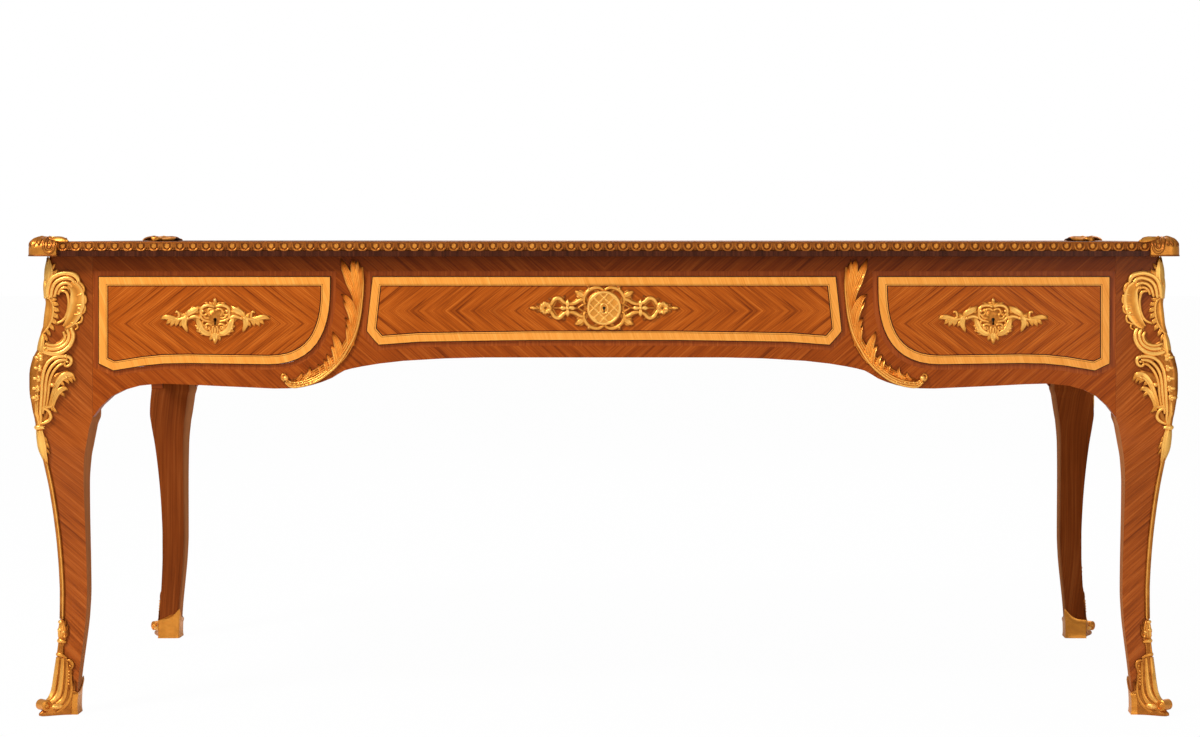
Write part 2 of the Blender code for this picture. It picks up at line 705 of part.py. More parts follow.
def corner_clasp(x, y, low, shoulder, high):
    """The shell that covers a corner of the rim and lies over the edge of the board."""
    crown, rest = low + CLASP_HEIGHT, high + GAP
    profile = [(GAP, low), *((CLASP_PROUD - inset * MM, low + up * MM) for inset, up in CLASP_SWELL)]
    profile += [(-CLASP_CROWN_EDGE, crown), (CLASP_LIP - CLASP_TONGUE, crown), (-CLASP_TONGUE, crown - CLASP_LIP)]
    profile += [(-CLASP_TONGUE, rest), (-RIM_WIDTH, rest), (-RIM_WIDTH, shoulder + GAP), (GAP, shoulder + GAP)]
    turns = [math.radians(a) for a in CLASP_TURNS]
    rings = [[(x - CLASP_LENGTH, y + n, z) for n, z in profile]]
    for turn in turns:
        ring = []
        for n, z in profile:
            across, along = (n * math.cos(turn), n * math.sin(turn)) if n > 0 else (n, n)
            ring.append((x + across, y + along, z))
        rings.append(ring)
    rings.append([(x + n, y - CLASP_LENGTH, z) for n, z in profile])
    bm = loft(rings)
    bmesh.ops.remove_doubles(bm, verts=bm.verts, dist=1e-6)
    bmesh.ops.dissolve_degenerate(bm, edges=bm.edges, dist=1e-6)
    return closed(bm)


# Acanthus mounts: edges on the centre side and on the side drawer's side, as (from the division, drop)
ACANTHUS = (
    ((-18, 8), (3, 8)),
    ((-26.4, 17), (7.5, 14)),
    ((-26, 35), (8.5, 36)),
    ((-25.6, 52), (10.7, 66)),
    ((-24.5, 70), (2, 80)),
    ((-23, 86), (1.6, 104)),
    ((-18, 113), (20.6, 126.5)),
    ((-14, 128), (9, 137)),
    ((-9, 141), (29, 158)),
    ((4, 164), (25, 171)),
    ((17, 182.5), (55, 186)),
    ((33, 199.5), (52, 194)),
    ((54, 210.5), (64, 197)),
    ((77, 216.5), (82, 202)),
    ((95, 217.5), (99, 199)),
    ((105, 213), (106, 204)),
)
ACANTHUS_EDGE = 0.003
ACANTHUS_CREST = 0.0075


def acanthus():
    """A leaf that follows the gap between two drawers and turns under the side one."""
    def columns(start, end):
        ends = [(DIVISION + u * MM, CARCASS_TOP - drop * MM) for u, drop in (start, end)]
        middle = tuple((a + b) / 2 for a, b in zip(*ends))
        return [[(*ends[0], ACANTHUS_EDGE), (*middle, ACANTHUS_CREST), (*ends[1], ACANTHUS_EDGE)]]

    def front(x, z, out):
        return x, -HALF_DEPTH - GAP - out, z

    def back(x, z, out):
        return x, -HALF_DEPTH - GAP, z

    return relief([columns(*row) for row in ACANTHUS], front, back)


def build_acanthus(frame):
    mesh = mesh_of("acanthus", acanthus(), "bronze")
    for corner, (sx, sy) in CORNERS.items():
        place(f"acanthus_{corner}", mesh, frame, (sx, -sy))


# Escutcheons: half outlines in millimetres from the keyhole, top to bottom

SIDE_ESCUTCHEON = (
    (0, 34.6), (2.6, 31), (2.2, 28), (9, 29), (7, 25), (15, 24), (22, 21), (26.5, 22.7), (37, 18), (45, 15),
    (48, 9), (56, 11), (62, 14.5), (63, 10), (58.5, 6), (68, 3.5), (79, 8.5), (90.8, 5.5), (79, -1.5),
    (73, -7.5), (66, -6.5), (60, -1), (57, -6), (53.5, -9.5), (51.5, -15), (49.5, -18.5), (46, -15),
    (46, -5), (43, 2), (36, 0), (30, -6), (27.5, -14), (24, -18), (16, -19), (11, -24), (8, -30),
    (4, -33.5), (0, -39),
)
SIDE_SHIELD = ((0, 20), (10, 18), (16, 12), (15, -4), (11, -12), (0, -18))
CENTRE_ESCUTCHEON = (
    (0, 29.8), (4, 33.5), (10, 35), (18, 33.5), (25, 35), (28, 31), (34, 25.5), (41, 28), (47, 27.5),
    (48, 23), (43, 18), (48, 13), (55, 10), (60, 15), (64, 10.5), (70, 14), (77, 20.5), (83, 16), (87, 8),
    (90, 5), (93, 9), (99, 10.5), (105, 8), (108.5, 3), (115, 3.5), (122.7, 0),
)
CRESCENT = ((26.5, 14.5), (20.8, 21.6), (14, 26), (17.5, 28.7), (24, 25.5), (29, 18))
LOZENGES = (((32, 0), (38, 9), (46, 7), (54, 0)), ((66, 0), (71, 6.5), (77, 12), (84, 0)))
DISC = 28.4
DISC_SIDES = 24


def scaled(points):
    return [(x * MM, z * MM) for x, z in points]


def four_way(quarter):
    """A closed outline from its upper right quarter."""
    return mirrored(quarter + [(x, -z) for x, z in reversed(quarter) if z > 0])


def side_escutcheon():
    return mirrored(scaled(SIDE_ESCUTCHEON)), [], mirrored(scaled(SIDE_SHIELD))


def centre_escutcheon():
    windows = []
    for up in (1, -1):
        for right in (1, -1):
            windows.append([(x * right, z * up) for x, z in scaled(CRESCENT)])
    for lozenge in LOZENGES:
        loop = scaled(lozenge) + [(x, -z) for x, z in scaled(lozenge[1:-1])[::-1]]
        windows += [loop, flipped(loop)]
    turns = [2 * math.pi * n / DISC_SIDES for n in range(DISC_SIDES)]
    disc = [(DISC * MM * math.sin(a), DISC * MM * math.cos(a)) for a in turns]
    return four_way(scaled(CENTRE_ESCUTCHEON)), windows, disc


def escutcheon(shape, x, z):
    outline, windows, shield = shape
    back = -HALF_DEPTH - DRAWER_PROUD - GAP
    panel = (moved(shield, x, z), [keyhole(x, z)])
    windows = [moved(loop, x, z) for loop in windows]
    return board(moved(outline, x, z), back - ESCUTCHEON_PLATE, back, windows, [panel], ESCUTCHEON_SHIELD)


# Drawers

def drawer_box(side_left, side_right, low, name, body):
    """Two grooved sides, a back and a bottom, carried by the drawer front."""
    high = CARCASS_TOP - BOX_TOP_DROP
    front, back = DRAWER_BACK_FACE + GAP, DRAWER_BACK_FACE + DRAWER_LENGTH
    groove_low = low + BOTTOM_RISE
    groove_high = groove_low + BOTTOM_PANEL + 2 * GAP

    def side(outer, way):
        inner = outer + way * SIDE_WALL
        deep = inner - way * GROOVE
        return bar([(outer, low), (inner, low), (inner, groove_low), (deep, groove_low), (deep, groove_high),
                    (inner, groove_high), (inner, high), (outer, high)], front, back)

    solid(f"{name}_side_left", side(side_left, 1), "oak", body)
    solid(f"{name}_side_right", side(side_right, -1), "oak", body)
    left, right = side_left + SIDE_WALL + GAP, side_right - SIDE_WALL - GAP
    solid(f"{name}_back", block(left, right, back - BACK_WALL, back, groove_high, high), "oak", body)
    tongue = GROOVE - 2 * GAP
    solid(f"{name}_bottom", block(left - tongue, right + tongue, front, back,
                                  groove_low + GAP, groove_high - GAP), "oak", body)


def lock(x, name, body):
    """A case on the back of the drawer front. Its bolt rises behind the apron's rail."""
    low, high = LOCK_TOP - LOCK_HEIGHT, LOCK_TOP
    front = DRAWER_BACK_FACE + GAP
    half, bolt_low = BOLT_WIDTH / 2, high - BOLT_HEIGHT
    bolt_front = 2 * GAP - HALF_DEPTH + APRON_THICKNESS
    bolt_back = bolt_front + BOLT_THICKNESS
    case = block(x - LOCK_WIDTH / 2, x + LOCK_WIDTH / 2, front, front + LOCK_DEPTH, low, high)
    left, right = x - half, x + half
    pocket = block(left - GAP, right + GAP, bolt_front - GAP, bolt_back + GAP, bolt_low - GAP, high + GAP)
    solid(f"lock_case_{name}", without(case, pocket), "steel", body)
    bolt_body = carrier(f"bolt_{name}", (x, bolt_back, high))
    bolt = block(left, right, bolt_front, bolt_back, bolt_low, high)
    solid(f"lock_bolt_{name}", bolt, "steel", bolt_body)


def build_drawers():
    outlines = drawer_outlines()
    inner, outer = DIVISION + SIDE_BOX_INSET, JOINT - SIDE_BOX_OUTSET
    middle = CENTRE_BOX_HALF
    places = {
        "left": (-outer, -inner, SIDE_BOX_DROP, -SIDE_KEY_X, SIDE_KEY_DROP, side_escutcheon()),
        "centre": (-middle, middle, CENTRE_BOX_DROP, 0.0, CENTRE_KEY_DROP, centre_escutcheon()),
        "right": (inner, outer, SIDE_BOX_DROP, SIDE_KEY_X, SIDE_KEY_DROP, side_escutcheon()),
    }
    for name, (left, right, drop, key_x, key_drop, shape) in places.items():
        key_z = CARCASS_TOP - key_drop
        body = carrier(f"drawer_{name}", (key_x, -HALF_DEPTH, key_z))
        front = board(outlines[name], -HALF_DEPTH - DRAWER_PROUD, DRAWER_BACK_FACE, [keyhole(key_x, key_z)])
        solid(f"drawer_{name}_front", front, "veneer", body)
        drawer_box(left, right, CARCASS_TOP - drop, f"drawer_{name}", body)
        solid(f"escutcheon_{name}", escutcheon(shape, key_x, key_z), "bronze", body)
        lock(key_x, name, body)


def main():
    clear_scene()
    frame = carrier("desk_frame")
    build_legs(frame)
    build_aprons(frame)
    build_runners(frame)
    build_top(frame)
    build_acanthus(frame)
    build_drawers()


main()
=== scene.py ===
import math

import bpy
import numpy as np
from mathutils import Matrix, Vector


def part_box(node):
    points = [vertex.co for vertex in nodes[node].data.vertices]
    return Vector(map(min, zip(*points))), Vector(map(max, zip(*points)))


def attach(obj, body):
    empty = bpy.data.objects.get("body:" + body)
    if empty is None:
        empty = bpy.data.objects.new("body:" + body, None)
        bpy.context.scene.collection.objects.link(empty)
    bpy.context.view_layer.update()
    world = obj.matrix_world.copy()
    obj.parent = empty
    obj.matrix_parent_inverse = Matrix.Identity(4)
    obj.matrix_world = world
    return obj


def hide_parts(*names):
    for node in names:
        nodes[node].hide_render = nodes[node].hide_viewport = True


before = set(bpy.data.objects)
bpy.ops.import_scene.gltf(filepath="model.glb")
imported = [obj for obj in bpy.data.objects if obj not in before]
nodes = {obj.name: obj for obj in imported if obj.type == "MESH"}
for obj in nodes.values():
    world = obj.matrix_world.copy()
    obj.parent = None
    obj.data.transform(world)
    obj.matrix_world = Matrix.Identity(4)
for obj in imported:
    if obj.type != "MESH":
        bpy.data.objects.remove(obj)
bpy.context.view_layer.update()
mm = 0.001
hair = 0.1 * mm
weld, looseWeld = 1e-6, 1e-5  # points closer than this become one

# lines of the carcass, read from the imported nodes
halfDepth = -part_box("front_apron")[0].y
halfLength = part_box("right_apron")[1].x
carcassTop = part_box("top_board")[0].z
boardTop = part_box("top_board")[1].z
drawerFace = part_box("drawer_centre_front")[0].y
corners = {
    "front_left": (-1, -1),
    "front_right": (1, -1),
    "back_left": (-1, 1),
    "back_right": (1, 1),
}


# selecting, making and joining

def deselectAll():
    if bpy.context.mode != "OBJECT":
        bpy.ops.object.mode_set(mode="OBJECT")
    bpy.ops.object.select_all(action="DESELECT")


def pick(*pieces):
    deselectAll()
    for piece in pieces:
        piece.select_set(True)
    bpy.context.view_layer.objects.active = pieces[-1]


def editAll(piece):
    pick(piece)
    bpy.ops.object.mode_set(mode="EDIT")
    bpy.ops.mesh.select_all(action="SELECT")


def linked(name, data):
    piece = bpy.data.objects.new(name, data)
    bpy.context.scene.collection.objects.link(piece)
    return piece


def meshPiece(name, points, faces):
    mesh = bpy.data.meshes.new(name)
    mesh.from_pydata(points, [], faces)
    return linked(name, mesh)


def ringFaces(count, row, after):
    # faces between two rings of points
    turns = [(i, (i + 1) % count) for i in range(count)]
    return [(row * count + i, row * count + j, after * count + j, after * count + i) for i, j in turns]


def joined(name, pieces):
    pick(*pieces)
    if len(pieces) > 1:
        bpy.ops.object.join()
    piece = bpy.context.view_layer.objects.active
    piece.name = name
    piece.data.name = name
    return piece


def ownCopy(piece, name):
    copy = piece.copy()
    copy.data = piece.data.copy()
    copy.name = name
    copy.data.name = name
    copy.parent = None
    bpy.context.scene.collection.objects.link(copy)
    for key in [k for k in copy.keys() if k.startswith("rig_")]:
        del copy[key]
    return copy


def removeAll(pieces):
    for piece in pieces:
        bpy.data.objects.remove(piece)


def pointsOf(mesh):
    points = np.empty(len(mesh.vertices) * 3)
    mesh.vertices.foreach_get("co", points)
    return points.reshape(-1, 3)


def setPoints(mesh, points):
    mesh.vertices.foreach_set("co", np.asarray(points, float).ravel())
    mesh.update()


def setAttribute(mesh, name, values):
    layer = mesh.attributes.get(name) or mesh.attributes.new(name, "FLOAT", "POINT")
    layer.data.foreach_set("value", np.asarray(values, float))


def setUv(mesh, acrossAndAlong):
    layer = mesh.uv_layers.get("grain") or mesh.uv_layers.new(name="grain")
    mesh.uv_layers.active = layer
    corner = np.empty(len(mesh.loops), int)
    mesh.loops.foreach_get("vertex_index", corner)
    layer.data.foreach_set("uv", np.asarray(acrossAndAlong, float)[corner].ravel())


def mergeAndTurnOut(piece, near=weld):
    editAll(piece)
    bpy.ops.mesh.remove_doubles(threshold=near)
    bpy.ops.mesh.normals_make_consistent(inside=False)
    bpy.ops.object.mode_set(mode="OBJECT")


def closeEnds(piece, near=looseWeld):
    editAll(piece)
    bpy.ops.mesh.remove_doubles(threshold=near)
    bpy.ops.mesh.select_all(action="DESELECT")
    bpy.ops.mesh.select_mode(type="EDGE")
    bpy.ops.mesh.select_non_manifold()
    bpy.ops.mesh.fill_holes(sides=0)
    bpy.ops.mesh.select_mode(type="FACE")
    bpy.ops.mesh.select_all(action="SELECT")
    bpy.ops.mesh.normals_make_consistent(inside=False)
    bpy.ops.object.mode_set(mode="OBJECT")


def thickened(shell, wall):
    layer = shell.modifiers.new("wall", "SOLIDIFY")
    layer.thickness = wall * mm
    layer.offset = 0
    pick(shell)
    bpy.ops.object.modifier_apply(modifier="wall")


def smoothShade(piece, angle):
    pick(piece)
    bpy.ops.object.shade_smooth_by_angle(angle=math.radians(angle))


def smoothLine(xs, ys):
    # a curve through the points that never overshoots them
    xs, ys = np.array(xs, float), np.array(ys, float)
    steps = np.diff(ys) / np.diff(xs)
    turns = steps[:-1] * steps[1:]
    slopes = np.zeros_like(ys)
    slopes[1:-1] = np.where(turns > 0, 2 * turns / np.where(turns > 0, steps[:-1] + steps[1:], 1), 0)

    def at(x):
        x = np.clip(x, xs[0], xs[-1])
        i = np.clip(np.searchsorted(xs, x) - 1, 0, len(xs) - 2)
        wide = xs[i + 1] - xs[i]
        t = (x - xs[i]) / wide
        low = ys[i] * (1 + 2 * t) * (1 - t) ** 2 + slopes[i] * wide * t * (1 - t) ** 2
        return low + ys[i + 1] * t * t * (3 - 2 * t) + slopes[i + 1] * wide * t * t * (t - 1)

    return at


# materials

white = (1, 1, 1, 1)
coatRoughness = 0.12


def newMaterial(name, roughness, metallic=0.0, coat=0.0, specular=0.5):
    material = bpy.data.materials.new(name)
    material.use_nodes = True
    tree = material.node_tree
    shader = tree.nodes["Principled BSDF"]
    shader.inputs["Roughness"].default_value = roughness
    shader.inputs["Metallic"].default_value = metallic
    shader.inputs["Coat Weight"].default_value = coat
    shader.inputs["Coat Roughness"].default_value = coatRoughness
    shader.inputs["Specular IOR Level"].default_value = specular
    return material, tree, shader


def srgb(red, green, blue):
    levels = [v / 255 for v in (red, green, blue)]
    return [v / 12.92 if v <= 0.04045 else ((v + 0.055) / 1.055) ** 2.4 for v in levels] + [1.0]


def plug(tree, value, socket):
    if isinstance(value, bpy.types.NodeSocket):
        tree.links.new(value, socket)
    else:
        socket.default_value = value


def reckon(tree, operation, first, second=0.0):
    node = tree.nodes.new("ShaderNodeMath")
    node.operation = operation
    plug(tree, first, node.inputs[0])
    plug(tree, second, node.inputs[1])
    return node.outputs[0]


def weighted(tree, first, firstShare, second, secondShare):
    return reckon(tree, "ADD", reckon(tree, "MULTIPLY", first, firstShare),
                  reckon(tree, "MULTIPLY", second, secondShare))


def noiseAlong(tree, across, along, acrossScale, alongScale, detail=5.0, roughness=0.6, seed=0.0):
    joiner = tree.nodes.new("ShaderNodeCombineXYZ")
    plug(tree, reckon(tree, "MULTIPLY", across, acrossScale), joiner.inputs[0])
    plug(tree, reckon(tree, "MULTIPLY", along, alongScale), joiner.inputs[1])
    joiner.inputs[2].default_value = seed
    noise = tree.nodes.new("ShaderNodeTexNoise")
    noise.inputs["Scale"].default_value = 1.0
    noise.inputs["Detail"].default_value = detail
    noise.inputs["Roughness"].default_value = roughness
    plug(tree, joiner.outputs[0], noise.inputs["Vector"])
    return noise.outputs[0]


def ramp(tree, value, stops):
    node = tree.nodes.new("ShaderNodeValToRGB")
    band = node.color_ramp
    while len(band.elements) < len(stops):
        band.elements.new(0.5)
    for element, (place, colour) in zip(band.elements, stops):
        element.position = place
        element.color = colour
    plug(tree, value, node.inputs[0])
    return node.outputs[0]


def paintRamp(tree, value, stops):
    return ramp(tree, value, [(place, srgb(*colour)) for place, colour in stops])


def blended(tree, kind, first, second, share=1.0):
    node = tree.nodes.new("ShaderNodeMix")
    node.data_type = "RGBA"
    node.blend_type = kind
    plug(tree, share, node.inputs["Factor"])
    plug(tree, first, node.inputs[6])
    plug(tree, second, node.inputs[7])
    return node.outputs[2]


def bumped(tree, shader, height, strength, depth):
    bump = tree.nodes.new("ShaderNodeBump")
    bump.inputs["Strength"].default_value = strength
    bump.inputs["Distance"].default_value = depth * mm
    plug(tree, height, bump.inputs["Height"])
    plug(tree, bump.outputs[0], shader.inputs["Normal"])


def objectAxes(tree):
    coords = tree.nodes.new("ShaderNodeTexCoord")
    split = tree.nodes.new("ShaderNodeSeparateXYZ")
    plug(tree, coords.outputs["Object"], split.inputs[0])
    return split.outputs[0], split.outputs[1], split.outputs[2]


def uvAxes(tree):
    uv = tree.nodes.new("ShaderNodeUVMap")
    uv.uv_map = "grain"
    split = tree.nodes.new("ShaderNodeSeparateXYZ")
    plug(tree, uv.outputs[0], split.inputs[0])
    return split.outputs[0], split.outputs[1]


def fromEdges(tree, x, y, corner):
    return [reckon(tree, "SUBTRACT", reach, reckon(tree, "ABSOLUTE", place))
            for place, reach in ((x, corner.x), (y, corner.y))]


# lean of the veneer, level and steep, and how much a second axis adds to the first
grainLook = {"field": (0.62, 0.78), "apron": (0.66, 0.75), "leg": (0.68, 0.73),
             "upright": 0.83, "lengthwise": 0.9, "band": 0.35}


def slanted(tree, across, up, lean, fall=1):
    # grain that leans away from a middle line on both sides
    level, steep = grainLook[lean]
    away = reckon(tree, "ABSOLUTE", across)
    return weighted(tree, away, level, up, fall * steep), weighted(tree, away, steep, up, -fall * level)


def lozengeGrain(tree):
    x, z = uvAxes(tree)
    return slanted(tree, x, reckon(tree, "ABSOLUTE", z), "field")


def apronGrain(tree):
    x, _, z = objectAxes(tree)
    return slanted(tree, x, z, "apron", -1)


def sideApronGrain(tree):
    _, y, z = objectAxes(tree)
    return slanted(tree, y, z, "apron", -1)


def legGrain(tree):
    return slanted(tree, *uvAxes(tree), "leg")


def uprightGrain(tree):
    x, y, z = objectAxes(tree)
    return weighted(tree, x, 1.0, y, grainLook["upright"]), z


def lengthwiseGrain(tree):
    x, y, z = objectAxes(tree)
    return weighted(tree, y, 1.0, z, grainLook["lengthwise"]), x


def bandGrain(tree):
    x, _, z = objectAxes(tree)
    return weighted(tree, x, 1.0, z, grainLook["band"]), z


def borderGrain(tree):
    # mitred border of the top: the figure runs out to each edge
    x, y, _ = objectAxes(tree)
    fromEnd, fromSide = fromEdges(tree, x, y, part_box("top_board")[1])
    endNearer = reckon(tree, "LESS_THAN", fromEnd, fromSide)
    alongEdge = reckon(tree, "ADD", reckon(tree, "MULTIPLY", y, endNearer),
                       reckon(tree, "MULTIPLY", x, reckon(tree, "SUBTRACT", 1.0, endNearer)))
    return alongEdge, reckon(tree, "MINIMUM", fromEnd, fromSide)


woodLook = {
    "coat": 0.04, "sheen": 0.0, "sheenTint": (255, 180, 120), "bump": (0.06, 0.6),
    # how slowly each noise runs along the grain, against across it
    "streaksRun": 0.016, "figureRun": 0.08, "veinsRun": 0.014,
    "figureShare": 0.4, "veinWidth": 0.022, "veinTint": (0.42, 0.34, 0.28, 1),
    # tint of the painted shade and dirt towards the top
    "shadeAndDirtTint": (1, 0.92, 0.8),
}


def wood(name, grain, ownLook):
    look = {**woodLook, **ownLook}
    material, tree, shader = newMaterial(name, look["roughness"], coat=look["coat"],
                                         specular=look["specular"])
    across, along = grain(tree)

    def figured(kind, detail, roughness, seed=0.0):
        run = look[kind] * look[kind + "Run"]
        return noiseAlong(tree, across, along, look[kind], run, detail, roughness, seed)

    streaks, figure = figured("streaks", 5.0, 0.6), figured("figure", 3.0, 0.5, 4.0)
    value = weighted(tree, streaks, 1 - look["figureShare"], figure, look["figureShare"])
    dark, middle, light = look["colours"]
    spread = look["spread"]
    colour = paintRamp(tree, value, ((0.5 - spread, dark), (0.5, middle), (0.5 + spread, light)))
    # thin dark veins that follow the grain
    away = reckon(tree, "ABSOLUTE", reckon(tree, "SUBTRACT", figured("veins", 2.0, 0.5, 9.0), 0.5))
    vein = ramp(tree, away, ((0.0, look["veinTint"]), (look["veinWidth"], white)))
    colour = blended(tree, "MULTIPLY", colour, vein, look["veinShare"])
    if "shadeAndDirt" in look:
        # painted shade under the top's overhang, with some dirt: the colour darkens towards the top
        start, end, deepest = look["shadeAndDirt"]
        tint = (*(deepest * share for share in look["shadeAndDirtTint"]), 1)
        shadeAndDirt = ramp(tree, objectAxes(tree)[2], ((start, white), (end, tint)))
        colour = blended(tree, "MULTIPLY", colour, shadeAndDirt)
    plug(tree, colour, shader.inputs["Base Color"])
    shader.inputs["Sheen Weight"].default_value = look["sheen"]
    shader.inputs["Sheen Tint"].default_value = srgb(*look["sheenTint"])
    bumped(tree, shader, streaks, *look["bump"])
    return material


apronLook = {
    "colours": ((90, 32, 3), (151, 66, 11), (186, 97, 32)), "spread": 0.23, "specular": 0.08,
    "streaks": 480, "figure": 90, "roughness": 0.38, "veins": 120, "veinShare": 0.45,
    # painted shade under the overhang, with some dirt, darkening the top of the apron
    "shadeAndDirt": (0.69, 0.75, 0.55),
}
woods = {
    "fieldVeneer": (lozengeGrain, {
        "colours": ((98, 36, 3), (170, 79, 13), (206, 112, 36)), "spread": 0.18, "specular": 0.08,
        "streaks": 560, "figure": 100, "roughness": 0.36, "veins": 125, "veinShare": 0.7}),
    "apronVeneer": (apronGrain, apronLook),
    "sideApronVeneer": (sideApronGrain, apronLook),
    "legVeneer": (legGrain, {
        "colours": ((92, 36, 7), (160, 76, 21), (196, 108, 45)), "spread": 0.24, "specular": 0.08,
        "streaks": 480, "figure": 90, "roughness": 0.38, "veins": 120, "veinShare": 0.45,
        # painted shade, with dark stains, towards the top of the legs
        "shadeAndDirt": (0.5, 0.75, 0.62)}),
    "innerLegWood": (uprightGrain, {
        "colours": ((86, 34, 8), (124, 56, 18), (152, 80, 34)), "spread": 0.22, "specular": 0.0,
        "streaks": 300, "figure": 50, "roughness": 0.4, "veins": 50, "veinShare": 0.3, "sheen": 0.6,
        "coat": 0.0}),
    "lightBand": (bandGrain, {
        "colours": ((216, 128, 40), (236, 152, 60), (248, 176, 84)), "spread": 0.24, "specular": 0.14,
        "streaks": 420, "figure": 120, "roughness": 0.36, "veins": 60, "veinShare": 0.08}),
    "darkString": (bandGrain, {
        "colours": ((30, 12, 5), (48, 20, 8), (70, 32, 12)), "spread": 0.25, "specular": 0.1,
        "streaks": 300, "figure": 80, "roughness": 0.4, "veins": 60, "veinShare": 0.0}),
    "crossBand": (uprightGrain, {
        "colours": ((104, 42, 6), (150, 66, 12), (184, 94, 30)), "spread": 0.28, "specular": 0.14,
        "streaks": 420, "figure": 160, "roughness": 0.38, "veins": 80, "veinShare": 0.2,
        # painted shade under the overhang, with some dirt, at the top of the banding
        "shadeAndDirt": (0.69, 0.75, 0.62)}),
    # dark wood of the top's border, darkened past its own tone partly as painted shade for the dark line
    # under the top
    "topBorder": (borderGrain, {
        "colours": ((40, 16, 7), (70, 31, 15), (102, 50, 28)), "spread": 0.2, "specular": 0.08,
        "streaks": 260, "figure": 60, "roughness": 0.36, "veins": 50, "veinShare": 0.4}),
    "drawerOak": (lengthwiseGrain, {
        "colours": ((134, 92, 52), (176, 132, 84), (206, 166, 116)), "spread": 0.2, "specular": 0.3,
        "streaks": 300, "figure": 60, "roughness": 0.6, "veins": 70, "veinShare": 0.3}),
}
bronzeLook = {
    "roughness": 0.36, "metallic": 0.7, "specular": 0.3, "bump": (0.12, 0.8),
    "skew": (0.7, 0.6), "patches": 60, "grains": 420, "crestShare": 0.86, "patchShare": 0.28,
    "stops": ((0.1, (52, 21, 5)), (0.36, (158, 86, 26)), (0.6, (227, 148, 56)), (0.92, (254, 192, 96))),
}


def makeBronze():
    look = bronzeLook
    material, tree, shader = newMaterial("giltBronze", look["roughness"], look["metallic"],
                                         specular=look["specular"])
    x, y, z = objectAxes(tree)
    crest = tree.nodes.new("ShaderNodeAttribute")
    crest.attribute_name = "crest"
    acrossSkew, upSkew = look["skew"]
    across, up = weighted(tree, x, 1.0, y, acrossSkew), weighted(tree, z, 1.0, y, upSkew)
    patches = noiseAlong(tree, across, up, look["patches"], look["patches"], 4.0)
    # painted relief shading, dark in the recesses and bright on the high parts, mixed with random wear
    # patches
    shadingAndWear = weighted(tree, crest.outputs["Fac"], look["crestShare"], patches, look["patchShare"])
    plug(tree, paintRamp(tree, shadingAndWear, look["stops"]), shader.inputs["Base Color"])
    grains = noiseAlong(tree, across, up, look["grains"], look["grains"], 3.0)
    bumped(tree, shader, grains, *look["bump"])
    return material


steelLook = {"roughness": 0.42, "marks": (160, 600), "stops": ((0.3, (92, 90, 86)), (0.7, (150, 148, 142)))}


def makeSteel():
    material, tree, shader = newMaterial("lockSteel", steelLook["roughness"], metallic=1.0)
    x, _, z = objectAxes(tree)
    marks = noiseAlong(tree, x, z, *steelLook["marks"], 4.0)
    plug(tree, paintRamp(tree, marks, steelLook["stops"]), shader.inputs["Base Color"])
    return material


# the gilt lines: how far in from the leather's edge, and how wide, in millimetres
leatherLook = {
    "roughness": 0.5, "specular": 0.4, "lines": ((18, 3.0), (24, 1.2), (62, 1.2), (68, 3.0)),
    "gilt": (216, 164, 84), "giltMetal": 0.8, "patches": 7, "grain": 900, "bump": (0.18, 0.6),
    "stops": ((0.3, (74, 42, 24)), (0.55, (104, 60, 34)), (0.75, (128, 78, 46))),
}


def makeLeather():
    look = leatherLook
    material, tree, shader = newMaterial("toolLeather", look["roughness"], specular=look["specular"])
    x, y, _ = objectAxes(tree)
    inward = reckon(tree, "MINIMUM", *fromEdges(tree, x, y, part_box("leather")[1]))
    gilt = 0.0
    for middle, wide in look["lines"]:
        away = reckon(tree, "ABSOLUTE", reckon(tree, "SUBTRACT", inward, middle * mm))
        gilt = reckon(tree, "MAXIMUM", reckon(tree, "LESS_THAN", away, wide * mm / 2), gilt)
    patches = noiseAlong(tree, x, y, look["patches"], look["patches"], 5.0)
    hide = paintRamp(tree, patches, look["stops"])
    plug(tree, blended(tree, "MIX", hide, srgb(*look["gilt"]), gilt), shader.inputs["Base Color"])
    plug(tree, reckon(tree, "MULTIPLY", gilt, look["giltMetal"]), shader.inputs["Metallic"])
    pores = noiseAlong(tree, x, y, look["grain"], look["grain"], 2.0)
    bumped(tree, shader, pores, *look["bump"])
    return material


finishes = {name: wood(name, grain, look) for name, (grain, look) in woods.items()}
finishes["giltBronze"] = makeBronze()
finishes["lockSteel"] = makeSteel()
finishes["toolLeather"] = makeLeather()
print("materials ready")


def dress(piece, *names):
    piece.data.materials.clear()
    for name in names:
        piece.data.materials.append(finishes[name])


# the leg's surface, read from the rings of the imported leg

legLook = {
    "arrisRound": 3.5, "innerRound": 4.0, "hollow": 1.6, "across": 30, "inside": 12, "along": 150,
    "leastFace": 20.0, "smooth": 50, "mountRound": 4.0, "footRound": 5.0, "step": 0.4,
}
legColumns = legLook["across"] + legLook["inside"]
outerShare = legLook["across"] / legColumns
legLow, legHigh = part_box("leg_front_right")


def readLegForm():
    points = pointsOf(nodes["leg_front_right"].data)
    heights = np.round(points[:, 2], 5)
    rows = []
    for z in np.unique(heights):
        ring = points[heights == z] * np.array([1, -1, 1]) - np.array([halfLength, halfDepth, 0])
        inner = ring[:, 0].min()
        edge = ring[ring[:, 0] < inner + hair, 1].max()
        whole = abs(ring[:, 1].min() - inner) < hair and inner < edge - legLook["leastFace"] * mm
        if whole and (ring[:, :2].max(1) < inner + hair).any():
            rows.append((z, (ring[:, 0] + ring[:, 1]).max() / 2, inner, edge))
    z, arris, inner, edge = np.array(rows).T
    return smoothLine(z, arris), smoothLine(z, inner), smoothLine(z, edge)


arrisAt, innerAt, edgeAt = readLegForm()


def atCorner(corner, x, y, z):
    return np.stack([corner[0] * (halfLength + x), corner[1] * (halfDepth + y), z], 1)


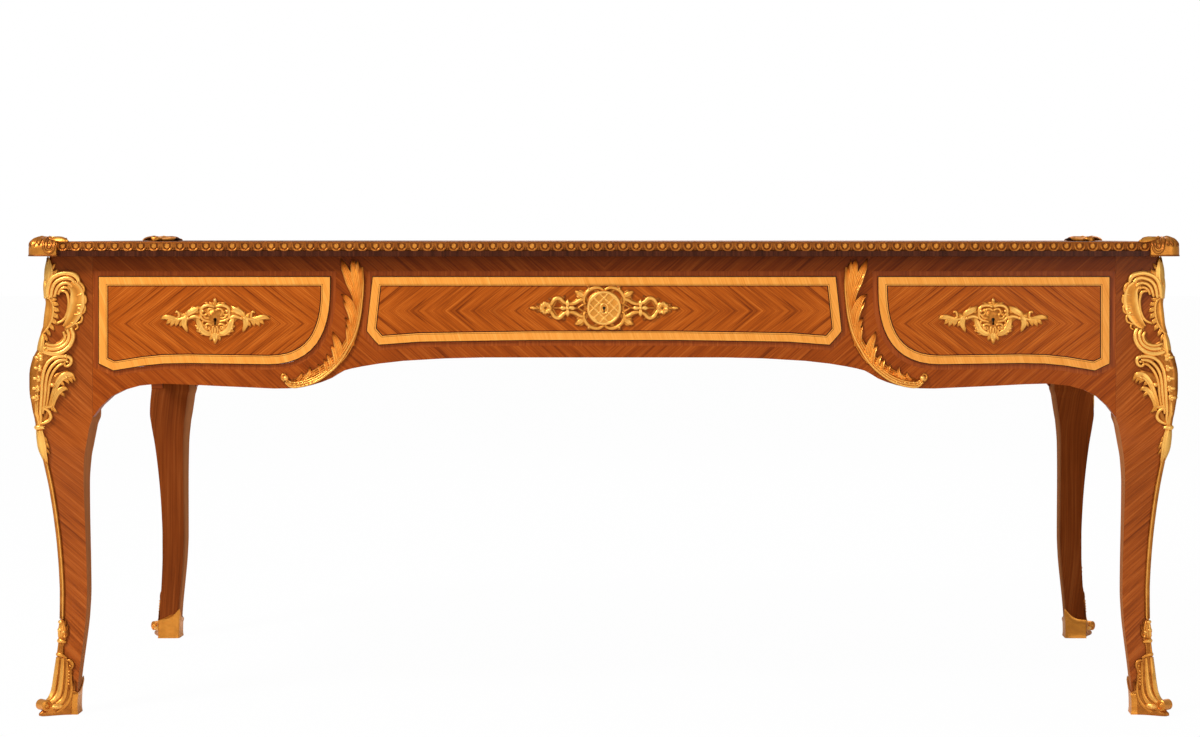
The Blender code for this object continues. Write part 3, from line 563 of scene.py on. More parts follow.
def legSection(s, z, rounding):
    # s runs round the arris: front face for s > 0, end face for s < 0
    arris, inner, edge = arrisAt(z), innerAt(z), edgeAt(z)
    wide = arris - inner
    soft = np.sqrt(s * s + rounding * rounding)
    frontIn, endIn = (soft + s) / 2, (soft - s) / 2

    def hollow(inward):
        return (arris - edge) * (1 - np.clip(1 - inward / wide, 0, 1) ** legLook["hollow"])

    return arris - frontIn - hollow(endIn), arris - endIn - hollow(frontIn)


def onLeg(corner, s, z, rise, rounding=legLook["mountRound"] * mm):
    step = legLook["step"] * mm
    x, y = legSection(s, z, rounding)
    aheadX, aheadY = legSection(s + step, z, rounding)
    backX, backY = legSection(s - step, z, rounding)
    upX, upY = legSection(s, z + step, rounding)
    downX, downY = legSection(s, z - step, rounding)
    alongX, alongY = (aheadX - backX) / (2 * step), (aheadY - backY) / (2 * step)
    riseX, riseY = (upX - downX) / (2 * step), (upY - downY) / (2 * step)
    out = np.stack([alongY, -alongX, alongX * riseY - alongY * riseX], 1)
    out /= np.linalg.norm(out, axis=1, keepdims=True)
    points = np.stack([halfLength + x, halfDepth + y, z], 1) + out * np.asarray(rise)[:, None]
    return points * np.array([*corner, 1.0])


def wrappedGrid(name, across, along, place):
    deselectAll()
    bpy.ops.mesh.primitive_grid_add(x_subdivisions=across, y_subdivisions=along, size=1)
    piece = bpy.context.object
    piece.name = name
    flat = pointsOf(piece.data) + 0.5
    points, grain = place(flat[:, 0], flat[:, 1])
    setPoints(piece.data, points)
    setUv(piece.data, grain)
    return piece


def legRing(u, z, swell=0.0):
    # u runs once round the leg: end face, arris, front face, then the two inner faces
    arris, inner, edge = arrisAt(z) + swell, innerAt(z) - swell, edgeAt(z) + swell
    wide, reach = arris - inner, edge - inner
    s = np.clip((2 * u / outerShare - 1), -1, 1) * wide
    x, y = legSection(s, z, legLook["arrisRound"] * mm)
    x, y = x + swell, y + swell
    rounding = legLook["innerRound"] * mm
    q = (2 * (u - outerShare) / (1 - outerShare) - 1) * reach
    soft = np.sqrt(q * q + rounding * rounding)
    inside = u > outerShare + weld
    x = np.where(inside, inner + (soft + q) / 2, np.maximum(x, inner))
    y = np.where(inside, inner + (soft - q) / 2, np.maximum(y, inner))
    seam = (u < weld) | (u > 1 - weld)
    return np.where(seam, edge, x), np.where(seam, inner, y), np.where(inside, q, s)


def makeLeg(name, corner):
    def place(u, v):
        z = legLow.z + (legHigh.z - legLow.z) * v
        x, y, across = legRing(u, z)
        return atCorner(corner, x, y, z), np.stack([across, z], 1)

    leg = wrappedGrid(name, legColumns, legLook["along"], place)
    dress(leg, "legVeneer", "innerLegWood")
    inner = [int(face.index % legColumns >= legLook["across"]) for face in leg.data.polygons]
    leg.data.polygons.foreach_set("material_index", inner)
    closeEnds(leg)
    smoothShade(leg, legLook["smooth"])
    return leg


for place, corner in corners.items():
    leg = makeLeg("veneered_leg_" + place, corner)
    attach(leg, "frame")
    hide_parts("leg_" + place)
print("legs done")


# drawer fronts, false fronts and end panels with their banding

bandLook = {
    "rim": 1.2, "light": 11.6, "line": 0.6, "edge": 1.6, "string": 1.7,
    "crossBand": 8.0, "crossBandRise": 0.15, "gap": 0.3, "inside": 10.0, "mitre": 0.6,
    "showDepth": 0.3, "facing": 0.9,
}
# the first dark step, the rim, is painted shadow for the gap round a drawer front; the later steps are real
# banding and stringing
bandSteps = (("darkString", "rim"), ("lightBand", "light"), ("darkString", "line"), ("lightBand", "edge"),
             ("darkString", "string"))
bandSlots = {"lightBand": 1, "darkString": 2, "fieldVeneer": 3}


def bandFace(panel, facing, grainMiddle, ground="apronVeneer"):
    dress(panel, ground, *bandSlots)
    editAll(panel)
    bpy.ops.mesh.remove_doubles(threshold=looseWeld)
    bpy.ops.mesh.select_all(action="DESELECT")
    bpy.ops.object.mode_set(mode="OBJECT")
    axis = 0 if facing[0] else 1
    proud = max(v.co[axis] * facing[axis] for v in panel.data.vertices)
    for face in panel.data.polygons:
        face.material_index = 0
        shown = face.center[axis] * facing[axis] > proud - bandLook["showDepth"] * mm
        face.select = shown and face.normal[axis] * facing[axis] > bandLook["facing"]
    bpy.ops.object.mode_set(mode="EDIT")
    bpy.ops.mesh.select_mode(type="FACE")
    for finish, width in bandSteps:
        panel.active_material_index = bandSlots[finish]
        bpy.ops.object.material_slot_assign()
        bpy.ops.mesh.inset(thickness=bandLook[width] * mm, use_even_offset=True)
    panel.active_material_index = bandSlots["fieldVeneer"]
    bpy.ops.object.material_slot_assign()
    bpy.ops.object.mode_set(mode="OBJECT")
    points = pointsOf(panel.data)
    across = points[:, 1 - axis]
    middle = grainMiddle(across)
    setUv(panel.data, np.stack([across - middle[0], points[:, 2] - middle[1]], 1))


def bandedPanel(node, name, facing, grainMiddle):
    panel = ownCopy(nodes[node], name)
    panel.data.shade_flat()
    bandFace(panel, facing, grainMiddle)
    return panel


def showLoop(piece, face):
    # outline of the show face, as ordered points across and up
    uses, ends = {}, {}
    for polygon in piece.data.polygons:
        near = abs(polygon.center.y - face) < bandLook["showDepth"] * mm
        if near and polygon.normal.y < -bandLook["facing"]:
            for edge in polygon.edge_keys:
                uses[edge] = uses.get(edge, 0) + 1
    for (a, b), count in uses.items():
        if count == 1:
            ends.setdefault(a, []).append(b)
            ends.setdefault(b, []).append(a)
    best, left = [], set(ends)
    while left:
        start = left.pop()
        loop, before, here = [start], None, start
        while True:
            after = [n for n in ends[here] if n != before]
            if not after or after[0] in loop:
                break
            before, here = here, after[0]
            loop.append(here)
            left.discard(here)
        best = max(best, loop, key=len)
    return np.array([(piece.data.vertices[i].co.x, piece.data.vertices[i].co.z) for i in best])


def grown(loop, by):
    after = np.roll(loop, -1, 0) - loop
    after /= np.linalg.norm(after, axis=1, keepdims=True)
    before = np.roll(after, 1, 0)
    area = np.sum(loop[:, 0] * np.roll(loop[:, 1], -1) - np.roll(loop[:, 0], -1) * loop[:, 1])
    turn = np.array([[0, -1], [1, 0]]) * (1 if area > 0 else -1)
    outA, outB = before @ turn, after @ turn
    reach = 1 + np.sum(outA * outB, axis=1, keepdims=True)
    return loop + by * (outA + outB) / np.maximum(reach, bandLook["mitre"])


def crossBanding(name, loop, y, facing):
    inner = grown(loop, bandLook["gap"] * mm)
    outer = grown(loop, (bandLook["gap"] + bandLook["crossBand"]) * mm)
    rise = y + facing * bandLook["crossBandRise"] * mm
    inside = y - facing * bandLook["inside"] * mm
    rings = ((inner, inside), (inner, rise), (outer, rise), (outer, y))
    points = [(x, height, z) for ring, height in rings for x, z in ring]
    faces = [face for row in range(4) for face in ringFaces(len(loop), row, (row + 1) % 4)]
    piece = meshPiece(name, points, faces)
    dress(piece, "crossBand")
    mergeAndTurnOut(piece)
    return piece


panelMiddles = []
for place in ("left", "centre", "right"):
    node = "drawer_" + place + "_front"
    low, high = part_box(node)
    middle = ((low.x + high.x) / 2, (low.z + high.z) / 2)
    panelMiddles.append(middle)
    front = bandedPanel(node, "veneered_front_" + place, (0, -1), lambda across, middle=middle: middle)
    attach(front, "drawer_" + place)
    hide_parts(node)
    loop = showLoop(front, drawerFace)
    for side, facing in (("front", -1), ("back", 1)):
        band = crossBanding("cross_band_" + side + "_" + place, loop, facing * halfDepth, facing)
        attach(band, "frame")


divisionX = (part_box("drawer_centre_front")[1].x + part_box("drawer_right_front")[0].x) / 2


def ownMiddle(across):
    places, heights = np.array(panelMiddles).T
    panel = np.digitize(across, (-divisionX, divisionX))
    return places[panel], heights[panel]


backPanel = bandedPanel("back_apron", "veneered_back_apron", (0, 1), ownMiddle)
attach(backPanel, "frame")
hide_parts("back_apron")

# the ends have one inlaid field each, kept clear of the points of the arch
endLook = {"border": 26.0, "footRise": 34.0, "footDrop": 14.0, "footPower": 6, "points": 25,
           "proud": 0.2, "sunk": 0.6, "archShare": 0.1}


def endField(apron, side, facing):
    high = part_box(side + "_apron")[1]
    reach, top = high.y - endLook["border"] * mm, high.z - endLook["border"] * mm
    points = pointsOf(apron.data)
    arch = points[np.abs(points[:, 1]) < endLook["archShare"] * reach, 2].min()
    across = np.linspace(reach, -reach, endLook["points"])
    drop = endLook["footDrop"] * (across / reach) ** endLook["footPower"]
    foot = arch + (endLook["footRise"] - drop) * mm
    outline = [(-reach, top), (reach, top)] + list(zip(across, foot))
    count = len(outline)
    sheets = [facing * (halfLength + out * mm) for out in (endLook["proud"], -endLook["sunk"])]
    faces = [tuple(range(count)), tuple(range(count, 2 * count))] + ringFaces(count, 0, 1)
    field = meshPiece("end_field", [(x, y, z) for x in sheets for y, z in outline], faces)
    mergeAndTurnOut(field)
    bandFace(field, (facing, 0), lambda y: (0.0, (arch + top) / 2), "darkString")
    return field


for side, facing in (("left", -1), ("right", 1)):
    apron = ownCopy(nodes[side + "_apron"], "apron_ground")
    apron.data.shade_flat()
    dress(apron, "sideApronVeneer", "topBorder")
    # the inner faces take the dark border wood, as painted shade for the inside of the carcass
    for face in apron.data.polygons:
        face.material_index = int(face.normal.x * facing < -0.5)  # the inner face is plain
    setUv(apron.data, pointsOf(apron.data)[:, 1:])
    panel = joined("veneered_" + side + "_apron", [endField(apron, side, facing), apron])
    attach(panel, "frame")
    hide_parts(side + "_apron")
print("drawer fronts and panels done")


# cast ornaments: strokes with a cast section, laid flat in millimetres and then carried onto the piece

castSections = {
    "reed": ((-1, -0.3), (-0.95, 0.25), (-0.62, 0.62), (0, 0.8), (0.62, 0.62), (0.95, 0.25), (1, -0.3)),
    "leaf": ((-1, -0.3), (-0.96, 0.12), (-0.55, 0.5), (-0.16, 0.34), (0, 0.62), (0.16, 0.34), (0.55, 0.5),
             (0.96, 0.12), (1, -0.3)),
    "hollowLeaf": ((-1, -0.3), (-0.97, 0.35), (-0.7, 0.62), (0, 0.3), (0.7, 0.62), (0.97, 0.35), (1, -0.3)),
    "band": ((-1, -0.3), (-0.98, 0.42), (-0.72, 0.62), (-0.46, 0.4), (0.46, 0.4), (0.72, 0.62),
             (0.98, 0.42), (1, -0.3)),
    "plain": ((-1, -0.2), (-0.8, 0.5), (0, 0.75), (0.8, 0.5), (1, -0.2)),
    "flute": ((-1, -0.12), (-0.97, 0.14), (-0.8, 0.2), (-0.45, 0.08), (0, 0.04), (0.45, 0.08), (0.8, 0.2),
              (0.97, 0.14), (1, -0.12)),
    "plate": ((-1, -0.1), (-0.94, 0.05), (-0.5, 0.1), (0, 0.12), (0.5, 0.1), (0.94, 0.05), (1, -0.1)),
    "frond": ((-1, -0.12), (-0.97, 0.1), (-0.78, 0.22), (-0.58, 0.1), (-0.38, 0.26), (-0.2, 0.13), (0, 0.34),
              (0.2, 0.13), (0.38, 0.26), (0.58, 0.1), (0.78, 0.22), (0.97, 0.1), (1, -0.12)),
}
castLook = {"turnSteps": 5, "thinnest": 0.15, "beadSides": 10, "beadRings": 6, "beadFlat": 0.8,
            "plateSteps": 6, "plateBevel": 2, "smooth": 55}


def sectionCurve(name):
    line = bpy.data.curves.new("section_" + name, "CURVE")
    line.dimensions = "2D"
    spline = line.splines.new("POLY")
    outline = castSections[name]
    spline.points.add(len(outline) - 1)
    for point, (x, y) in zip(spline.points, outline):
        point.co = (x * mm, y * mm, 0, 1)
    spline.use_cyclic_u = True
    return linked("section_" + name, line)


sectionPieces = {name: sectionCurve(name) for name in castSections}


def addSpline(line, stops, closed):
    # each stop: across, up[, half width[, lift]] in millimetres
    spline = line.splines.new("BEZIER")
    spline.bezier_points.add(len(stops) - 1)
    spline.use_cyclic_u = closed
    for point, stop in zip(spline.bezier_points, stops):
        across, up, wide, lift = (*stop, *(1.0, 0.0)[len(stop) - 2:])
        point.co = (across * mm, up * mm, lift * mm)
        point.radius = max(wide, castLook["thinnest"])
        point.handle_left_type = point.handle_right_type = "AUTO"


def meshOfCurve(line):
    pick(linked(line.name, line))
    bpy.ops.object.convert(target="MESH")
    return bpy.context.object


def castStrokes(section, strokes, turnSteps):
    line = bpy.data.curves.new("cast_" + section, "CURVE")
    line.dimensions = "3D"
    line.twist_mode = "Z_UP"
    line.bevel_mode = "OBJECT"
    line.bevel_object = sectionPieces[section]
    line.use_fill_caps = True
    line.resolution_u = turnSteps
    for stroke in strokes:
        closed = stroke[0] == "ring"
        addSpline(line, stroke[1:] if closed else stroke, closed)
    return meshOfCurve(line)


def castBeads(beads):
    # each bead: across, up, radius, lift
    made = []
    for across, up, radius, lift in beads:
        deselectAll()
        bpy.ops.mesh.primitive_uv_sphere_add(
            segments=castLook["beadSides"], ring_count=castLook["beadRings"], radius=radius * mm,
            location=(across * mm, up * mm, lift * mm), scale=(1, 1, castLook["beadFlat"]))
        bpy.ops.object.transform_apply(location=True, rotation=False, scale=True)
        made.append(bpy.context.object)
    return made


def castPlate(outline, holes, thick=1.6, edge=0.5):
    line = bpy.data.curves.new("cast_plate", "CURVE")
    line.dimensions = "2D"
    line.fill_mode = "BOTH"
    line.extrude = thick / 2 * mm
    line.bevel_depth = edge * mm
    line.bevel_resolution = castLook["plateBevel"]
    line.resolution_u = castLook["plateSteps"]
    for loop in (outline, *holes):
        addSpline(line, loop, True)
    piece = meshOfCurve(line)
    setPoints(piece.data, pointsOf(piece.data) + np.array([0, 0, thick / 2 * mm]))
    return piece


def cast(name, parts, turnSteps=castLook["turnSteps"]):
    made = []
    for kind, shapes in parts.items():
        if kind == "beads":
            made += castBeads(shapes)
        elif kind == "plates":
            made += [castPlate(*shape) for shape in shapes]
        else:
            made.append(castStrokes(kind, shapes, turnSteps))
    piece = joined(name, made)
    pick(piece)
    bpy.ops.object.transform_apply(location=True, rotation=True, scale=True)
    return piece


def flipped(parts, sideways=-1, upright=1):
    # mirrored about the middle line, and about the level line
    def turned(stop):
        return stop if stop == "ring" else (sideways * stop[0], upright * stop[1], *stop[2:])

    return {kind: [turned(shape) if kind == "beads" else [turned(stop) for stop in shape]
                   for shape in shapes] for kind, shapes in parts.items()}


def merged(*groups):
    result = {}
    for group in groups:
        for kind, shapes in group.items():
            result.setdefault(kind, []).extend(shapes)
    return result


def rays(across, up, count, turn, stops):
    # strokes out from a middle, each stop: how far out, half width, lift
    return [[(across + out * math.cos(a), up + out * math.sin(a), wide, lift) for out, wide, lift in stops]
            for a in (turn + 2 * math.pi * i / count for i in range(count))]


def starLeaves(across, up, count, inner, reach, wide, turn=0.0, lift=0.0):
    stops = ((inner, wide * 0.6, lift), (0.6 * reach, wide, lift), (reach, 0.8, lift * 0.5))
    return rays(across, up, count, turn, stops)


# an even level of painted relief shading over the whole piece
def evenReliefShading(piece, level):
    setAttribute(piece.data, "crest", np.full(len(piece.data.vertices), level))


def setReliefShading(piece, deep, high):
    # painted highlight where the casting stands high, painted shade in its recesses
    rise = pointsOf(piece.data)[:, 2] / mm
    setAttribute(piece.data, "crest", np.clip((rise - deep) / (high - deep), 0.0, 1.0))


# the imported piece as the ground under the strokes, at an even, darker level of painted shading
def groundCopy(node, crest):
    ground = ownCopy(nodes[node], "ground")
    mergeAndTurnOut(ground, looseWeld)
    evenReliefShading(ground, crest)
    return ground


def gilded(piece, angle):
    dress(piece, "giltBronze")
    mergeAndTurnOut(piece)
    smoothShade(piece, angle)


def finishCast(piece, points, ground=None):
    setPoints(piece.data, points)
    if ground:
        piece = joined(piece.name, [ground, piece])
    gilded(piece, castLook["smooth"])
    return piece


# corner mounts: across from the arris, then down from the carcass top, both in millimetres

kneeBlossoms = ((167, 9), (184, 9), (201, 8.4), (217, 8), (232, 7))
mountMiddle = {
    "frond": [
        # leaf at the top, sprig under the panel, knee, column under the loop and pendant leaf
        [(0, 0, 0.8, 1.2), (0, 9, 5, 1.2), (0, 20, 8.5, 1.2), (0, 31, 10, 0.8), (0, 44, 8, 0.2)],
        [(0, 126, 3, 0.6), (0, 138, 6.5, 0.8), (0, 150, 7.5, 0.8), (0, 162, 5, 0.6)],
        [(0, 156, 6, 0.6), (0, 172, 5.5, 0.8), (0, 200, 4.6, 0.8), (0, 236, 4.6, 1), (0, 262, 5.2, 1),
         (0, 278, 4, 1)],
        [(0, 284, 7, 1), (0, 296, 9.5, 1.2), (0, 312, 10.5, 1.2), (0, 326, 7.5, 1), (0, 344, 3.4, 0.4)],
    ],
    "plate": [[(0, 44, 9, 0.2), (0, 58, 10, 0.2), (0, 70, 6, 0)],
              [(0, 66, 5, 0), (0, 78, 11, 0), (0, 95, 14, 0), (0, 112, 12, 0), (0, 126, 5, 0)]],
    "leaf": [leaf for down, reach in kneeBlossoms
             for leaf in starLeaves(0, down, 6, 1.5, reach, 3.2, math.pi / 6, 1.8)],
    "reed": [[(-10, 281, 3, 0.4), (-4, 280.5, 4, 1), (0, 280.5, 4.4, 1.4), (4, 280.5, 4, 1),
              (10, 281, 3, 0.4)],
             [(-9, 66, 2.2), (0, 64.5, 2.6), (9, 66, 2.2)]],
    "band": [[(0, 338, 3.5), (0, 380, 3.5), (0, 440, 3.5), (0, 500, 3.5), (0, 560, 3.5), (0, 600, 3.5)]],
    "beads": [(0, down, 3.2, 3.4) for down, _ in kneeBlossoms],
}
mountSide = {
    "reed": [
        # upper scroll, ridge inside ridge
        [(2, 70, 3.4), (3, 52, 4), (7.5, 38, 4.2), (20, 29.5, 4.2), (37, 28.5, 4.2), (49, 34, 4.2),
         (53, 43, 3)],
        [(8.5, 69, 3.2), (10, 53, 3.6), (14.5, 43.5, 3.6), (25, 37, 3.6), (38, 36.5, 3.6), (47, 43.5, 2.8)],
        [(14.5, 67, 2.8), (16.5, 56, 3.2), (20.5, 49, 3.2), (28, 44.5, 3.2), (37, 45, 3), (43, 51, 2.2)],
        [(20, 63.5, 2.4), (22, 57.5, 2.8), (26, 53, 2.8), (32, 51.5, 2.6), (38, 54, 2)],
        # rim of the first window and the outer rim of its gutter
        [(24, 57.5, 2.2), (32, 58.5, 2.8), (37, 68, 2.8), (38.5, 82, 2.8), (37, 95, 2.8), (32, 105, 2.8),
         (22, 110.5, 2.4)],
        [(52, 42, 2.4), (59, 48, 2.6), (62, 56, 2.4), (60.5, 62, 2), (64, 66, 2.6), (66, 74, 2.6),
         (63.5, 80, 2), (65.5, 84, 2.4), (65, 91, 2.4), (60.5, 96, 2), (62.5, 101, 2.4), (61, 108, 2.4),
         (55.5, 111.5, 2), (57, 117, 2), (53, 121, 1.6)],
        [(54, 85, 1.8, 1.6), (59.5, 87, 2.2, 1.8), (60.5, 92, 2.2, 1.8), (57, 94.5, 2, 1.8),
         (54.5, 91.5, 1.6, 1.6)],
        # low ribs of the shell
        [(50, 65, 0.8, 0.8), (55, 63.5, 1.8, 0.8), (60.5, 62, 2, 0.8)],
        [(51, 81, 0.8, 0.8), (57, 80.5, 1.9, 0.8), (63.5, 80, 2.1, 0.8)],
        [(48, 96, 0.8, 0.8), (54, 96, 1.8, 0.8), (60.5, 96, 2, 0.8)],
        [(44, 109, 0.8, 0.8), (50, 110.5, 1.6, 0.8), (55.5, 111.5, 1.8, 0.8)],
        # border of the panel
        [(3, 68, 2), (9.5, 74, 2.4), (13.5, 86, 2.6), (14, 98, 2.6), (11.5, 111, 2.6), (6, 122, 2.4),
         (1, 128, 2)],
        # lower scroll
        [(46, 118, 3), (51, 128, 3.8), (50.5, 140, 4.2), (44, 151.5, 4.4), (32, 159, 4.4),
         (17, 160, 4.2), (6, 157, 3.4)],
        [(40, 120, 2.8), (44.5, 130, 3.4), (42.5, 141.5, 3.6), (34.5, 149.5, 3.8), (23, 152.5, 3.8),
         (11, 151, 3.4)],
        [(34.5, 124, 2.4), (38.4, 133, 3), (35.5, 141.5, 3.2), (28, 146, 3.2), (18, 146.5, 3),
         (8, 143.5, 2.6)],
        [(41, 122.5, 1.8), (45.5, 125.5, 2), (44, 130.5, 2), (39.5, 129, 1.6)],
        # stem over the knee, three ridges, and its curl
        [(45, 164.5, 3.2), (31, 165, 3.6), (19, 171, 3.6), (12, 183, 3.6), (9.5, 200, 3.6), (9.5, 222, 3.4),
         (9, 244, 3.2), (7.5, 262, 3), (4, 277, 2.6)],
        [(46, 170.5, 2.8), (34, 171.5, 3.2), (24.5, 178.5, 3.2), (18, 190, 3.2), (15.6, 205, 3.2),
         (15.2, 224, 3), (14, 242, 2.8), (12, 258, 2.6)],
        [(44, 176.5, 2), (37.5, 177.5, 2.6), (30, 184, 2.8), (24, 194.5, 2.8), (21, 208, 2.8),
         (20.2, 224, 2.6), (19, 238, 2.4), (17, 250, 2)],
        [(45, 164.5, 3.2), (51.5, 168, 3.4), (52.5, 175.5, 3.2), (47.5, 180.5, 2.8), (42.5, 178, 2.2),
         (43, 173.5, 1.8)],
        # loop under the knee and the bridges to the leaf sprays
        [(11, 249, 2.8), (19, 252, 3), (23.5, 259, 3.2), (20.5, 267.5, 3.2), (13, 272.5, 3), (6, 275, 2.4)],
        [(13, 245, 2.4), (20, 247.5, 3), (28, 246, 2.4)],
        [(20, 210, 3), (26, 211, 3.6), (32, 210, 3)],
    ],
    "leaf": [
        # teeth of the leaf at the top
        [(4, 24, 3.4), (8.5, 17, 3.4), (12, 11.5, 0.8)],
        [(7, 33, 3.4), (12.5, 26.5, 3.4), (16, 21, 0.8)],
        # serrated edge of the panel on the arris
        [(8, 70, 3), (14, 71.5, 3.4), (19, 70, 0.8)],
        [(11, 77, 3.2), (18, 79, 3.8), (23, 81, 0.8)],
        [(13, 85, 3.4), (20, 88.5, 4), (25, 92, 0.8)],
        [(13.5, 94, 3.4), (20, 98.5, 4), (24.5, 103, 0.8)],
        [(12.5, 103, 3.4), (18.5, 108, 3.8), (23, 113, 0.8)],
        [(10, 112, 3.2), (15.5, 117, 3.6), (19.5, 122.5, 0.8)],
        [(7, 121, 3), (11.5, 126.5, 3.2), (15, 132, 0.8)],
        [(4, 129, 2.8), (8, 135, 3), (11, 141, 0.8)],
        # upper leaf spray
        [(22, 250, 3), (26, 234, 3.8), (30.5, 218, 4.6), (36, 205, 5.8), (45, 196, 6.6), (54, 195, 4.8),
         (61, 200, 1)],
        [(36, 206, 3.4), (41.5, 209, 3.2), (45.5, 214, 0.8)],
        [(43.5, 201, 3.4), (49, 205, 3), (53, 210.5, 0.8)],
        [(50, 199, 3.2), (55, 203.5, 2.8), (58, 209, 0.8)],
        [(55, 197, 2.8), (59.5, 201, 2.4), (62.5, 206, 0.8)],
        # second leaf spray
        [(27, 254, 2.6), (28, 243, 3.8), (31.5, 231, 4.8), (37.5, 221.5, 5.2), (45.5, 217.5, 4.2),
         (52, 220.5, 0.9)],
        [(28, 248, 2.6), (31.5, 253.5, 2.6), (35.5, 256.5, 0.9)],
        [(39, 224, 3), (43.5, 227, 2.6), (47, 231.5, 0.8)],
        # teeth of the pendant leaf
        [(4, 294, 3), (9, 300, 3.2), (12.5, 306.5, 0.8)],
        [(5, 303, 3.2), (10.5, 309.5, 3.4), (14, 316.5, 0.8)],
        [(4, 313, 3), (9, 319, 3), (12, 325.5, 0.8)],
    ],
    "flute": [
        # channel of the shell outside the first window
        [(38, 45, 6, 0.5), (48, 53, 9.5, 0.5), (52, 66, 12, 0.5), (52, 82, 12.5, 0.5), (49, 97, 11.5, 0.5),
         (42, 110, 8.5, 0.5), (35, 117, 4.5, 0.5)],
    ],
    "hollowLeaf": [
        # gadroons at the arris end of the lower scroll
        [(8, 145, 2.4), (4, 150, 3.2), (1, 156, 2.2)],
        [(12.5, 148.5, 2.4), (8.5, 154, 3.2), (5, 160.5, 2.2)],
        [(17, 151, 2.4), (13.5, 157, 3.2), (10.5, 163.5, 2.2)],
    ],
    "beads": [(26, 211, 3.8, 1.8), (47, 173.5, 2.4, 1), (48, 199, 2.4, 4.2)],
}
# range of painted relief shading on the casting, and the even level of painted shading on its ground
mountLook = {"thick": 1.4, "least": 0.1, "crest": (-0.6, 2.9), "ground": 0.34, "groundDepth": 1.3,
             "search": 0.09, "tries": 181}
# how far the casting stands off the leg, by the depth below the carcass top
mountSeat = smoothLine(*np.transpose((
    (0, 2.0), (30, 3.2), (48, 3.8), (66, 2.0), (80, 0.3), (112, 0.3), (130, 1.6), (160, 3.4), (185, 4.0),
    (215, 3.4), (260, 2.0), (620, 2.0))) * mm)


def drawnToLeg(points, corner):
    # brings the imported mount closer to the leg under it, as the ground of the casting
    tries = np.linspace(-mountLook["search"], mountLook["search"], mountLook["tries"])
    x, y = legSection(tries[None, :], points[:, 2:], legLook["mountRound"] * mm)
    block = np.array([halfLength, halfDepth])
    stand = points[:, :2] * np.array(corner) - block
    best = ((x - stand[:, :1]) ** 2 + (y - stand[:, 1:]) ** 2).argmin(1)
    rows = np.arange(len(points))
    foot = np.stack([x[rows, best], y[rows, best]], 1)
    seat = mountSeat(carcassTop - points[:, 2])[:, None]
    stand = foot + (stand - foot) * seat / (seat + mountLook["groundDepth"] * mm)
    return np.column_stack([(stand + block) * np.array(corner), points[:, 2]])


mountFlat = cast("corner_mount_flat", merged(mountMiddle, mountSide, flipped(mountSide)))
for place, corner in corners.items():
    mount = ownCopy(mountFlat, "cast_corner_mount_" + place)
    setReliefShading(mount, *mountLook["crest"])
    flat = pointsOf(mount.data)
    rise = np.maximum(flat[:, 2] * mountLook["thick"] + mountSeat(flat[:, 1]), mountLook["least"] * mm)
    ground = groundCopy("corner_mount_" + place, mountLook["ground"])
    setPoints(ground.data, drawnToLeg(pointsOf(ground.data), corner))
    mount = finishCast(mount, onLeg(corner, flat[:, 0], carcassTop - flat[:, 1], rise), ground)
    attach(mount, "frame")
    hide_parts("corner_mount_" + place)
removeAll([mountFlat])
print("corner mounts done")


# acanthus leaves at the divisions: outwards from the division, then down from the carcass top

acanthusRib = [(103, 206, 3.4), (95, 212, 4.2), (79, 211.5, 4.4), (56, 204.5, 4.4), (35, 191, 4.4),
               (18, 174.5, 4.4), (4.5, 154, 4.4), (-7.5, 131, 4.2), (-15.5, 105, 4), (-20, 77, 3.6),
               (-22.5, 46, 3.2), (-23, 18, 1)]


def beside(stroke, off, share):
    # the same stroke moved to its side, at a share of its width
    points = np.array(stroke)
    along = np.gradient(points[:, :2], axis=0)
    along /= np.linalg.norm(along, axis=1, keepdims=True)
    taper = points[:, 2] / points[:, 2].max()
    return [(x - off * thin * run[1], y + off * thin * run[0], wide * share, 0.8)
            for (x, y, wide), run, thin in zip(points, along, taper)]


